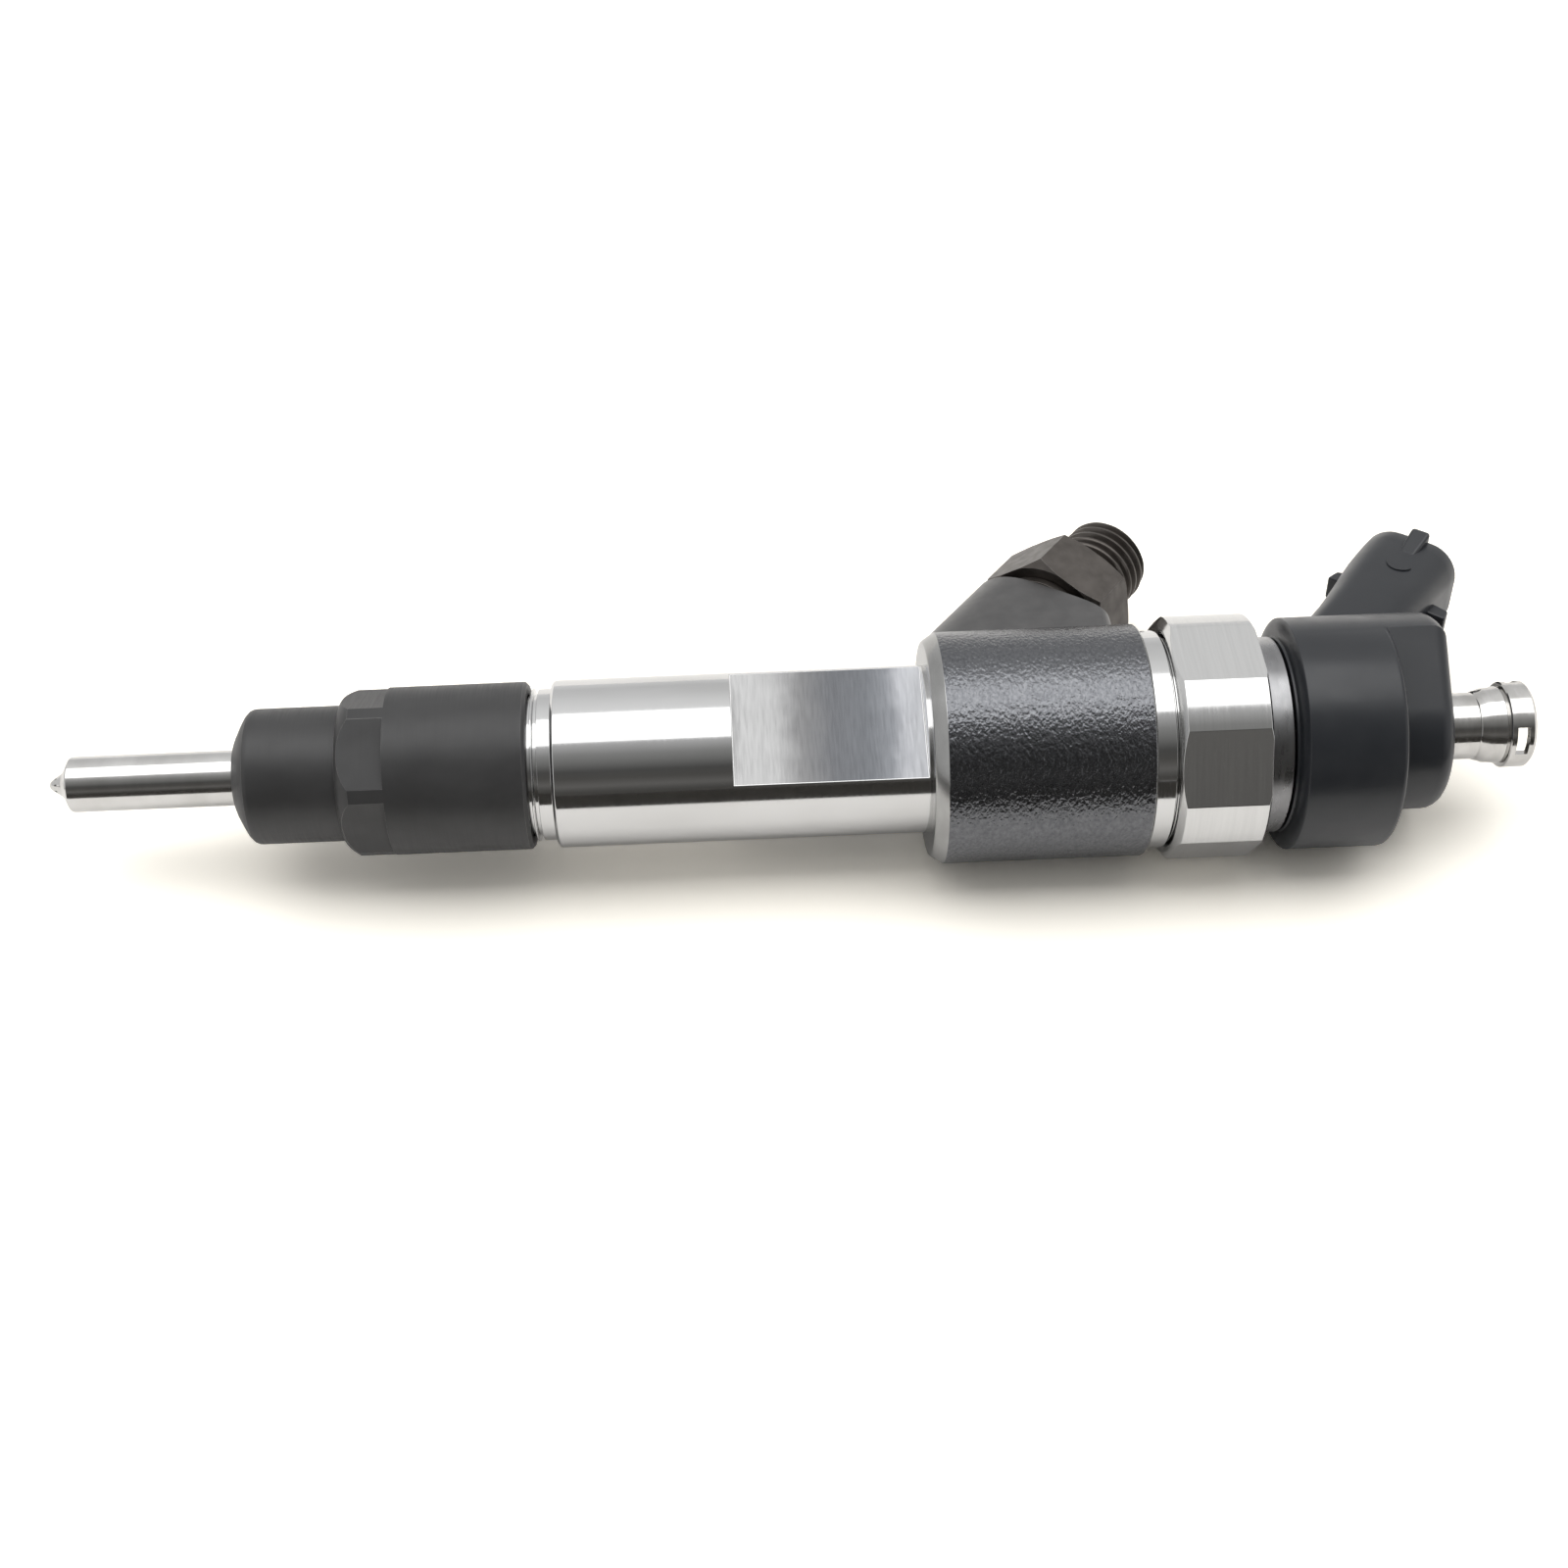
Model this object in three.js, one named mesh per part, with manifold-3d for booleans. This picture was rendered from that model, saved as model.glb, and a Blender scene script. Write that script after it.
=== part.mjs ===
// Diesel common-rail fuel injector, lying on a bench.
//
// Everything is drawn in millimetres about the injector's own axis, which runs along +X from the
// spray tip to the return fitting. A station is a distance along that axis from the spray tip.
// One group then lifts the axis to the height of the solenoid nut's flats, so that the injector
// rests on Z = 0 with its bounding box centred on X = Y = 0.
import * as THREE from 'three'
import { mergeVertices, mergeGeometries } from 'three/addons/utils/BufferGeometryUtils.js'
import { ConvexGeometry } from 'three/addons/geometries/ConvexGeometry.js'
import Module from 'manifold-3d'

const wasm = await Module()
wasm.setup()

// ---------------------------------------------------------------- driving dimensions

const LENGTH = 184.7 // spray tip to the end of the return fitting
const REST_HEIGHT = 14.5 // axis above the bench
const SIDE_OFFSET = -14.12 // axis to the middle of the box, across the bench

const GAP = 0.3 // between pieces that meet where one of them is cut
const RUNNING = 0.1 // radial clearance of a piece that slides or is slipped in
const COARSE = 16 // sides of small round pieces
const FINE = 32 // sides of large round pieces

// Stations of the outside, from the spray tip to the return fitting.
const STEM_START = 2.85
const NUT_FRONT = 23.8
const NUT_SHOULDER = 37.0
const NUT_HEX_END = 43.2
const NOZZLE_TOP = 46.0
const NUT_END = 60.5
const BARREL_START = 63.5
const FLATS_START = 85.6
const FLATS_END = 109.3
const HEAD_START = 109.7
const HEAD_END = 136.2
const COLLAR_END = 138.9
const SOLENOID_NUT_END = 149.8
const CAP_START = 153.0
const CAP_STEP = 166.1
const CAP_END = 173.4
const RETURN_STEP = 178.2
const RETURN_CUP_START = 181.5

// Radii of the outside.
const STEM_RADIUS = 3.5
const NUT_NOSE_RADIUS = 8.5
const BARREL_RADIUS = 10.5
const NECK_RADIUS = 9.5
const HEAD_RADIUS = 14.5
const COLLAR_RADIUS = 13.6
const SOLENOID_NUT_RADIUS = 15.25
const SLEEVE_RADIUS = 12.2
const CAP_RADIUS = 14.5
const CAP_STEP_RADIUS = 10.1
const RETURN_RADIUS = 4.15
const RETURN_BARB_RADIUS = 4.7
const RETURN_CUP_RADIUS = 5.36

// Widths across flats, and the way each flat faces: degrees from the front (-Y) up over the top.
const NUT_HEX = { acrossFlats: 19, facing: 58.9 }
const CLAMP_FLATS = { acrossFlats: 13.9, facing: 74.4 }
const SOLENOID_HEX = { acrossFlats: 29, facing: 90 }
const INLET_HEX = { acrossFlats: 17, corner: 21.6 }

// The fuel inlet and the electrical plug lean back from the axis, both towards the rear (+Y).
const INLET = { station: 109.3, lean: 53.4, facing: 186.5 }
const PLUG = { station: 151.6, lean: 50.0, facing: 186.5 }

// Distances along the inlet's own axis.
const INLET_BORE_FLOOR = 18.2
const INLET_SEAT = 30.7
const INLET_HEX_START = 32.5
const INLET_HEX_END = 39.5
const INLET_END = 50.6
const INLET_BOSS = {
  halfWidth: 7.6,
  rounded: { reach: 9.9, power: 2.4 },
  squared: { reach: 10.3, power: 6 },
}
const INLET_THREAD_RADIUS = 6.0
const INLET_THREAD_PITCH = 1.5

// Distances along the plug's own axis, and the plug's hood.
const HOOD_RIM = 43.2
const HOOD_FLOOR = 29.0
const HOOD = { width: 13.0, height: 12.0, corner: 4.0, wall: 1.3 }
const BLADE = { width: 2.8, thickness: 0.8, spacing: 4.8, root: 26.0, tip: 36.0 }

// Stations and radii of the bores inside the body.
const SPRING_ROOM_END = 73.0
const SPRING_ROOM_RADIUS = 4.6
const PISTON_BORE_RADIUS = 2.6
const VALVE_ROOM_START = 112.0
const VALVE_ROOM_RADIUS = 7.2
const SCREW_ROOM_START = 124.0
const SCREW_ROOM_RADIUS = 9.2
const MAGNET_ROOM_START = 131.0
const MAGNET_ROOM_RADIUS = 11.6
const BODY_END = 146.5
const BODY_THREAD_RADIUS = 12.9

// ---------------------------------------------------------------- shaping

const radians = THREE.MathUtils.degToRad

// The direction square to the axis that faces the given number of degrees up from the front.
function facing(degrees) {
  return new THREE.Vector3(0, -Math.cos(radians(degrees)), Math.sin(radians(degrees)))
}

// A frame whose Z axis leaves the injector's axis at a station, leaning back by the given angle.
function leaningFrame({ station, lean, facing: degrees }) {
  const outward = facing(degrees)
  const along = new THREE.Vector3(1, 0, 0)
  const zAxis = along.clone().multiplyScalar(Math.cos(radians(lean)))
    .addScaledVector(outward, Math.sin(radians(lean)))
  const yAxis = along.clone().cross(outward)
  const xAxis = yAxis.clone().cross(zAxis)
  return new THREE.Matrix4().makeBasis(xAxis, yAxis, zAxis).setPosition(station, 0, 0)
}

// A closed geometry as a solid for joining and cutting.
function solid(geometry) {
  const bare = geometry.index ? geometry.toNonIndexed() : geometry.clone()
  bare.deleteAttribute('normal')
  bare.deleteAttribute('uv')
  const merged = mergeVertices(bare, 1e-4)
  const source = merged.index.array
  const corners = []
  for (let i = 0; i < source.length; i += 3) {
    const [a, b, c] = [source[i], source[i + 1], source[i + 2]]
    if (a !== b && b !== c && c !== a) corners.push(a, b, c)
  }
  const build = (triVerts) => new wasm.Manifold(new wasm.Mesh({
    numProp: 3,
    vertProperties: new Float32Array(merged.attributes.position.array),
    triVerts: new Uint32Array(triVerts),
  }))
  const shape = build(corners)
  return shape.volume() > 0 ? shape : build(corners.reverse())
}

// A solid turned about +X from stations and radii; the outline closes on itself or on the axis.
function turned(outline, sides = FINE) {
  const points = outline.map(([station, radius]) => new THREE.Vector2(radius, station))
  if (outline[0][1] > 0) points.push(points[0].clone())
  return solid(new THREE.LatheGeometry(points, sides).rotateZ(-Math.PI / 2))
}

// The same about +Z, with heights in place of stations.
function turnedUpright(outline, sides = COARSE) {
  const points = outline.map(([height, radius]) => new THREE.Vector2(radius, height))
  if (outline[0][1] > 0) points.push(points[0].clone())
  return solid(new THREE.LatheGeometry(points, sides).rotateX(Math.PI / 2))
}

// A tube or washer turned about +X.
function ring(start, end, innerRadius, outerRadius, sides = COARSE) {
  return turned([[start, innerRadius], [start, outerRadius], [end, outerRadius], [end, innerRadius]], sides)
}

// A plain cylinder along +X.
function rod(start, end, radius, sides = COARSE) {
  return turned([[start, 0], [start, radius], [end, radius], [end, 0]], sides)
}

// A flat shape given a thickness from one station to another; the shape's axes are Y and Z.
function slab(shape, start, end) {
  const geometry = new THREE.ExtrudeGeometry(
    shape, { depth: end - start, bevelEnabled: false, curveSegments: 8 })
  geometry.applyMatrix4(new THREE.Matrix4().makeBasis(
    new THREE.Vector3(0, 1, 0), new THREE.Vector3(0, 0, 1), new THREE.Vector3(1, 0, 0)))
  return solid(geometry.translate(start, 0, 0))
}

// A flat shape given a thickness along +Z.
function uprightSlab(shape, start, end) {
  const geometry = new THREE.ExtrudeGeometry(
    shape, { depth: end - start, bevelEnabled: false, curveSegments: 5 })
  return solid(geometry.translate(0, 0, start))
}

// A box between two stations with one face square to the given direction.
function bar(start, end, [innerDistance, outerDistance], width, degrees) {
  const box = new THREE.BoxGeometry(end - start, outerDistance - innerDistance, width)
  box.translate((start + end) / 2, (innerDistance + outerDistance) / 2, 0)
  box.rotateX(radians(180 - degrees))
  return solid(box)
}

// A hexagon as a shape, with one corner at the given angle from the shape's first axis.
function hexagon(acrossFlats, cornerDegrees) {
  const cornerRadius = acrossFlats / Math.sqrt(3)
  const corners = Array.from({ length: 6 }, (_, i) => {
    const angle = radians(cornerDegrees + 60 * i)
    return new THREE.Vector2(cornerRadius * Math.cos(angle), cornerRadius * Math.sin(angle))
  })
  return new THREE.Shape(corners)
}

// A rectangle with round corners, centred on the origin.
function roundedRectangle(width, height, corner) {
  const shape = new THREE.Shape()
  const [x, y] = [width / 2 - corner, height / 2 - corner]
  shape.absarc(x, y, corner, 0, Math.PI / 2)
  shape.absarc(-x, y, corner, Math.PI / 2, Math.PI)
  shape.absarc(-x, -y, corner, Math.PI, Math.PI * 1.5)
  shape.absarc(x, -y, corner, Math.PI * 1.5, Math.PI * 2)
  shape.closePath()
  return shape
}

// A coil spring about +X, wound from round wire.
class Helix extends THREE.Curve {
  constructor(start, end, radius, turns) {
    super()
    Object.assign(this, { start, end, radius, turns })
  }

  getPoint(t, target = new THREE.Vector3()) {
    const angle = 2 * Math.PI * this.turns * t
    return target.set(
      this.start + (this.end - this.start) * t, this.radius * Math.cos(angle), this.radius * Math.sin(angle))
  }
}

function spring({ start, end, radius, wire, turns }) {
  const section = new THREE.Shape().absarc(0, 0, wire, 0, 2 * Math.PI)
  const path = new Helix(start + wire, end - wire, radius, turns)
  const options = { steps: turns * 10, curveSegments: 2, extrudePath: path }
  return solid(new THREE.ExtrudeGeometry(section, options))
}

// A round seal about +X.
function oRing(station, radius, thickness) {
  const torus = new THREE.TorusGeometry(radius, thickness, 6, COARSE)
  return solid(torus.rotateY(Math.PI / 2).translate(station, 0, 0))
}

// A solid moved into a frame.
function placed(shape, frame) {
  return shape.transform(frame.toArray())
}

// ---------------------------------------------------------------- materials and nodes

function metal(color, roughness) {
  return () => new THREE.MeshStandardMaterial({ color, roughness, metalness: 1 })
}

function plain(color, roughness) {
  return () => new THREE.MeshStandardMaterial({ color, roughness, metalness: 0 })
}

const polishedSteel = metal(0xc9cac9, 0.18)
const groundSteel = metal(0xa9abac, 0.3)
const blackOxide = metal(0x37383b, 0.45)
const forgedSteel = metal(0x55575b, 0.5)
const brownPhosphate = metal(0x55504b, 0.5)
const springSteel = metal(0x6f7276, 0.35)
const hardSteel = metal(0xb9bbbd, 0.2)
const softIron = metal(0x7d7f82, 0.4)
const charcoalPlastic = plain(0x46484c, 0.45)
const bobbinPlastic = plain(0x2b2622, 0.5)
const copper = metal(0xb06a3b, 0.35)
const tinnedBrass = metal(0xc8bd92, 0.3)
const rubber = plain(0x1c1c1d, 0.7)
const softWasher = metal(0x4a4743, 0.5)

const injector = new THREE.Group()
injector.position.set(-LENGTH / 2, SIDE_OFFSET, REST_HEIGHT)

function addPiece(name, shape, material) {
  const { vertProperties, triVerts } = shape.getMesh()
  const geometry = new THREE.BufferGeometry()
  geometry.setAttribute('position', new THREE.BufferAttribute(vertProperties, 3))
  geometry.setIndex(new THREE.BufferAttribute(triVerts, 1))
  const mesh = new THREE.Mesh(geometry, material())
  mesh.name = name
  injector.add(mesh)
}

// ---------------------------------------------------------------- nozzle

const NOZZLE_RADIUS = 7.15
const DOWEL = { radius: 0.75, centre: 5.9, depth: 1.8 }

// Two dowels stop the nozzle from turning on the body; the same rods, made larger, cut their holes.
function dowel(side, clearance) {
  const shape = rod(NOZZLE_TOP - DOWEL.depth - clearance, NOZZLE_TOP + GAP + DOWEL.depth + clearance,
    DOWEL.radius + clearance, 12)
  return shape.translate([0, 0, side * DOWEL.centre])
}

// Long stem with a conical spray tip, and a wide top that the retaining nut pulls on.
function nozzleBody() {
  const outline = [
    [0, 0], [1.8, 1.6], [STEM_START, STEM_RADIUS], [26.2, STEM_RADIUS], [29.0, NOZZLE_RADIUS],
    [NOZZLE_TOP, NOZZLE_RADIUS], [NOZZLE_TOP, 2.2], [35.0, 2.2], [34.0, 3.1], [31.0, 3.1], [30.0, 2.0],
    [5.4, 2.0], [3.0, 0.5], [1.6, 0],
  ]
  return turned(outline, 32).subtract(dowel(1, RUNNING)).subtract(dowel(-1, RUNNING))
}

// The needle closes the seat just behind the spray tip.
function nozzleNeedle() {
  return turned([
    [3.5, 0], [5.9, 1.5], [33.0, 1.5], [35.2, 2.1], [44.9, 2.1], [45.2, 1.8], [45.2, 0],
  ], 20)
}

// Nut with a narrow nose, a 45 degree shoulder and short wrench flats behind it.
function nozzleRetainingNut() {
  const outline = [
    [NUT_FRONT, 3.9], [NUT_FRONT, 4.9], [25.4, 7.9], [26.4, NUT_NOSE_RADIUS],
    [NUT_SHOULDER + 0.1, NUT_NOSE_RADIUS], [NUT_SHOULDER + 0.2, BARREL_RADIUS - 1.6],
    [NUT_SHOULDER + 0.9, BARREL_RADIUS - 0.6], [NUT_SHOULDER + 1.8, BARREL_RADIUS],
    [NUT_END - 0.4, BARREL_RADIUS], [NUT_END, BARREL_RADIUS - 0.4], [NUT_END, 8.9],
    [NOZZLE_TOP - 0.4, 8.9], [NOZZLE_TOP - 1.8, 7.5], [29.2, 7.5], [26.6, 4.1], [25.4, 3.9],
  ]
  const cornerAngle = 180 - NUT_HEX.facing + 30
  const hex = slab(hexagon(NUT_HEX.acrossFlats, cornerAngle), NUT_SHOULDER, NUT_HEX_END)
  const flatsZone = ring(NUT_SHOULDER, NUT_HEX_END, 8, BARREL_RADIUS + 2)
  return turned(outline).subtract(flatsZone.subtract(hex))
}

const NEEDLE_SPRING = { start: 50.1, end: 71.2, radius: 3.7, wire: 0.65, turns: 6 }

// Small mushroom between needle and piston that carries the spring.
function pressurePin() {
  return turned([
    [45.5, 0], [45.5, 1.4], [47.8, 1.4], [48.4, 4.3], [49.8, 4.3], [49.8, 2.3], [51.2, 2.0], [51.2, 0],
  ])
}

// ---------------------------------------------------------------- body

// A number raised to a power, keeping its sign.
function signedPower(value, power) {
  return Math.sign(value) * Math.abs(value) ** power
}

// The forging that carries the inlet: it leans back with the inlet, is rounded towards the nozzle and
// squared towards the solenoid, and is faced off at both ends.
function inletBoss(frame) {
  const backwards = new THREE.Vector3(0, 0, -1).transformDirection(frame)
  const inwards = facing(INLET.facing).multiplyScalar(-1)
  const shifts = [new THREE.Vector3(), backwards.multiplyScalar(24), inwards.multiplyScalar(20)]
  const points = []
  for (let i = 0; i < COARSE; i += 1) {
    const angle = (2 * Math.PI * i) / COARSE
    const { reach, power } = Math.cos(angle) > 0 ? INLET_BOSS.rounded : INLET_BOSS.squared
    const x = reach * signedPower(Math.cos(angle), 2 / power)
    const y = INLET_BOSS.halfWidth * signedPower(Math.sin(angle), 2 / power)
    const rim = new THREE.Vector3(x, y, INLET_SEAT).applyMatrix4(frame)
    for (const shift of shifts) points.push(rim.clone().add(shift))
  }
  return solid(new ConvexGeometry(points)).intersect(ring(HEAD_START + 1.5, HEAD_END, 0.5, 60, 12))
}

// Slim barrel with two clamp flats, forged head with the inlet boss, and a threaded end.
function injectorBody() {
  const inletFrame = leaningFrame(INLET)
  const outside = turned([
    [NOZZLE_TOP + GAP, 0], [NOZZLE_TOP + GAP, 8.7], [NUT_END + 0.5, 8.7], [NUT_END + 0.5, NECK_RADIUS],
    [BARREL_START, NECK_RADIUS], [BARREL_START, BARREL_RADIUS - 0.5], [BARREL_START + 0.5, BARREL_RADIUS],
    [HEAD_START, BARREL_RADIUS], [HEAD_START, 13.5], [HEAD_START + 1.5, HEAD_RADIUS],
    [HEAD_END, HEAD_RADIUS], [HEAD_END, COLLAR_RADIUS], [COLLAR_END - GAP, COLLAR_RADIUS],
    [COLLAR_END - GAP, BODY_THREAD_RADIUS], [BODY_END, BODY_THREAD_RADIUS], [BODY_END, 0],
  ])
  const bore = turned([
    [NOZZLE_TOP, 0], [NOZZLE_TOP, SPRING_ROOM_RADIUS], [SPRING_ROOM_END, SPRING_ROOM_RADIUS],
    [SPRING_ROOM_END, PISTON_BORE_RADIUS], [VALVE_ROOM_START, PISTON_BORE_RADIUS],
    [VALVE_ROOM_START, VALVE_ROOM_RADIUS], [SCREW_ROOM_START, VALVE_ROOM_RADIUS],
    [SCREW_ROOM_START, SCREW_ROOM_RADIUS], [MAGNET_ROOM_START, SCREW_ROOM_RADIUS],
    [MAGNET_ROOM_START, MAGNET_ROOM_RADIUS], [BODY_END + 1, MAGNET_ROOM_RADIUS], [BODY_END + 1, 0],
  ], 24)
  const inletBore = placed(turnedUpright([
    [INLET_BORE_FLOOR, 0], [INLET_BORE_FLOOR, 4.2], [19.7, INLET_THREAD_RADIUS + RUNNING],
    [INLET_SEAT + 1, INLET_THREAD_RADIUS + RUNNING], [INLET_SEAT + 1, 0],
  ], 20), inletFrame)
  const flatDistance = CLAMP_FLATS.acrossFlats / 2

  let body = outside.add(inletBoss(inletFrame)).subtract(bore).subtract(inletBore)
  for (const turn of [0, 180]) {
    const cut = [flatDistance, BARREL_RADIUS + 1]
    body = body.subtract(bar(FLATS_START, FLATS_END, cut, 24, CLAMP_FLATS.facing + turn))
  }
  for (const passage of fuelPassages(inletFrame)) body = body.subtract(passage)
  return body.subtract(dowel(1, RUNNING)).subtract(dowel(-1, RUNNING))
}

// A drilled hole between two points.
function drilled(from, to, radius) {
  const direction = to.clone().sub(from)
  const hole = new THREE.CylinderGeometry(radius, radius, direction.length(), 8)
  const upright = new THREE.Vector3(0, 1, 0)
  const turn = new THREE.Quaternion().setFromUnitVectors(upright, direction.clone().normalize())
  hole.applyQuaternion(turn)
  const middle = from.clone().add(to).multiplyScalar(0.5)
  return solid(hole.translate(middle.x, middle.y, middle.z))
}

const PASSAGE_RADIUS = 0.8

// High-pressure drillings: from the inlet along the barrel to the nozzle, and across to the valve.
function fuelPassages(inletFrame) {
  const inletFloor = new THREE.Vector3(0, 0, INLET_BORE_FLOOR + 0.5).applyMatrix4(inletFrame)
  const side = facing(INLET.facing)
  const barrelTop = side.clone().multiplyScalar(9.1).setX(114.0)
  const nozzleEnd = side.clone().multiplyScalar(6.5).setX(NOZZLE_TOP)
  const valveRoom = side.clone().multiplyScalar(VALVE_ROOM_RADIUS - 0.6).setX(120.0)
  return [
    drilled(inletFloor, barrelTop, PASSAGE_RADIUS),
    drilled(barrelTop, nozzleEnd, PASSAGE_RADIUS),
    drilled(inletFloor, valveRoom, PASSAGE_RADIUS),
  ]
}

// ---------------------------------------------------------------- control valve

// Guides the top of the piston, and ends in the seat that the ball closes.
function valveBody() {
  return turned([
    [112.4, 2.3], [112.4, 6.4], [113.0, 6.9], [117.2, 6.9], [117.2, 5.6], [119.0, 5.6], [119.0, 6.9],
    [124.2, 6.9], [124.2, 4.6], [128.6, 4.6], [130.0, 2.6], [130.0, 0.8], [129.5, 0.4], [127.6, 0.4],
    [127.2, 2.3],
  ], 24)
}

function valveClampingScrew() {
  const hex = slab(hexagon(11.2, 30), 128, 130.2)
  return ring(124.5, 130.2, 4.9, SCREW_ROOM_RADIUS - RUNNING, 32).subtract(hex)
}

// Long rod that passes the pressure above it on to the needle.
function valvePiston() {
  return turned([
    [51.5, 0], [51.5, 1.7], [74.0, 1.7], [76.0, 2.15], [126.5, 2.15], [126.9, 1.8], [126.9, 0],
  ], 20)
}

const BALL_RADIUS = 0.75

function valveBall() {
  return solid(new THREE.SphereGeometry(BALL_RADIUS, 12, 8).translate(130.5, 0, 0))
}

const ARMATURE_SPRING = { start: 135.2, end: 136.2, radius: 2.4, wire: 0.2, turns: 1.5 }

// Disc that carries the armature's pin, with holes that let fuel by.
function armatureGuide() {
  let disc = ring(133.1, 135.0, 1.55, 11.2, 24)
  for (let i = 0; i < 4; i += 1) {
    disc = disc.subtract(rod(133, 135.1, 1.6, 12).translate([0, 6.4, 0]).rotate([45 + 90 * i, 0, 0]))
  }
  return disc
}

// Round plate with six slots, pulled up by the magnet.
function armaturePlate() {
  let plate = ring(136.4, 138.2, 1.55, 8.4, 36)
  for (let i = 0; i < 6; i += 1) {
    plate = plate.subtract(bar(136, 139, [3.6, 9.5], 0.9, 60 * i))
  }
  return plate
}

function circlip() {
  return ring(138.4, 138.9, 1.45, 2.6).subtract(bar(138, 139.2, [0, 4], 1.4, 0))
}

// ---------------------------------------------------------------- solenoid

const CORE_RADIUS = 10.9
const VALVE_SPRING = { start: 141.2, end: 149.6, radius: 1.65, wire: 0.35, turns: 5 }

// Iron pot with a ring-shaped slot for the coil and a groove for its seal.
function magnetCore() {
  return turned([
    [139.4, 2.3], [139.4, 5.2], [146.0, 5.2], [146.0, 8.8], [139.4, 8.8], [139.4, CORE_RADIUS],
    [143.2, CORE_RADIUS], [143.2, 9.9], [145.2, 9.9], [145.2, CORE_RADIUS], [151.4, CORE_RADIUS],
    [151.4, 2.3],
  ], 24)
}

function coilBobbin() {
  return turned([
    [139.6, 5.4], [139.6, 8.6], [140.2, 8.6], [140.2, 6.1], [145.2, 6.1], [145.2, 8.6], [145.8, 8.6],
    [145.8, 5.4],
  ], 24)
}

// Steel sleeve that the nut clamps on the end of the body.
function solenoidSleeve() {
  return turned([
    [BODY_END + GAP, 11.1], [BODY_END + GAP, 12.7], [148.0, 12.7], [148.0, SLEEVE_RADIUS],
    [CAP_START, SLEEVE_RADIUS], [CAP_START, 11.1],
  ])
}

// Union nut: round, with six wrench flats.
function solenoidNut() {
  const round = turned([
    [COLLAR_END, 13.1], [COLLAR_END, SOLENOID_NUT_RADIUS - 1], [COLLAR_END + 0.7, SOLENOID_NUT_RADIUS],
    [SOLENOID_NUT_END - 0.3, SOLENOID_NUT_RADIUS], [SOLENOID_NUT_END, SOLENOID_NUT_RADIUS - 0.3],
    [SOLENOID_NUT_END, 12.5], [148.3, 12.5], [148.3, 13.1],
  ], 48)
  const cornerAngle = 180 - SOLENOID_HEX.facing + 30
  return round.intersect(slab(hexagon(SOLENOID_HEX.acrossFlats, cornerAngle), COLLAR_END, SOLENOID_NUT_END))
}

// The cap's outline where it steps down: full on the plug's side, with straight sides that run on to
// a smaller round.
function capStep() {
  const outline = new THREE.Shape()
  const sideEnd = { along: 3.2, across: 15.28 }
  const reach = CAP_RADIUS + 1.5
  outline.absarc(0, 0, CAP_STEP_RADIUS, radians(127.9), radians(232.1))
  outline.lineTo(sideEnd.along, -sideEnd.across)
  outline.lineTo(reach, -sideEnd.across)
  outline.lineTo(reach, sideEnd.across)
  outline.lineTo(sideEnd.along, sideEnd.across)
  outline.closePath()
  const upright = slab(outline, CAP_STEP - 1, CAP_END).rotate([180 - PLUG.facing, 0, 0])
  return upright.intersect(turned([
    [CAP_STEP - 1, 0], [CAP_STEP - 1, CAP_RADIUS], [CAP_END - 2, CAP_RADIUS],
    [CAP_END - 0.7, CAP_RADIUS - 0.6], [CAP_END, CAP_RADIUS - 2], [CAP_END, 0],
  ]))
}

// Latch ramps on both narrow sides of the hood, and the coding rib on its broad side.
function hoodRibs() {
  const latch = new THREE.BoxGeometry(HOOD.width + 4, 4.4, 2.4).translate(0, 0, HOOD_RIM - 7.7)
  const rib = new THREE.BoxGeometry(2.6, 2.6, 4.6).translate(-0.6, HOOD.height / 2 + 0.5, HOOD_RIM - 2.3)
  return solid(latch).add(solid(rib))
}

// Moulded cap with the plug's hood, bored for the return fitting.
function solenoidHousing() {
  const frame = leaningFrame(PLUG)
  const cap = turned([
    [CAP_START + GAP, 0], [CAP_START + GAP, SLEEVE_RADIUS + 0.3], [CAP_START + 1.6, CAP_RADIUS],
    [CAP_STEP - 0.7, CAP_RADIUS], [CAP_STEP, CAP_RADIUS - 0.7], [CAP_STEP, 0],
  ])
  const hood = uprightSlab(roundedRectangle(HOOD.width, HOOD.height, HOOD.corner), 12, HOOD_RIM)
  const inner = [HOOD.width - 2 * HOOD.wall, HOOD.height - 2 * HOOD.wall, HOOD.corner - HOOD.wall]
  let cutters = uprightSlab(roundedRectangle(...inner), HOOD_FLOOR, HOOD_RIM + 1)
  for (const side of [-1, 1]) {
    const pocket = new THREE.BoxGeometry(BLADE.width + 2 * RUNNING, BLADE.thickness + 2 * RUNNING, 4)
    cutters = cutters.add(solid(pocket.translate((side * BLADE.spacing) / 2, 0, BLADE.root - GAP + 2)))
  }
  return cap.add(capStep())
    .add(placed(hood.add(hoodRibs()), frame))
    .subtract(placed(cutters, frame))
    .subtract(rod(CAP_START, CAP_END + 1, RETURN_RADIUS + RUNNING, 28))
}

// Flat blade with a tapered tip.
function terminalBlade(side) {
  const shape = new THREE.Shape()
  const half = BLADE.width / 2
  shape.moveTo(-half, BLADE.root)
  shape.lineTo(half, BLADE.root)
  shape.lineTo(half, BLADE.tip - 1)
  shape.lineTo(half - 0.7, BLADE.tip)
  shape.lineTo(-half + 0.7, BLADE.tip)
  shape.lineTo(-half, BLADE.tip - 1)
  shape.closePath()
  const blade = new THREE.ExtrudeGeometry(shape, { depth: BLADE.thickness, bevelEnabled: false })
  blade.translate((side * BLADE.spacing) / 2, 0, -BLADE.thickness / 2).rotateX(Math.PI / 2)
  return placed(solid(blade), leaningFrame(PLUG))
}

// ---------------------------------------------------------------- return fitting and inlet

const CUP_SLOTS_FACING = 24

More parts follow.
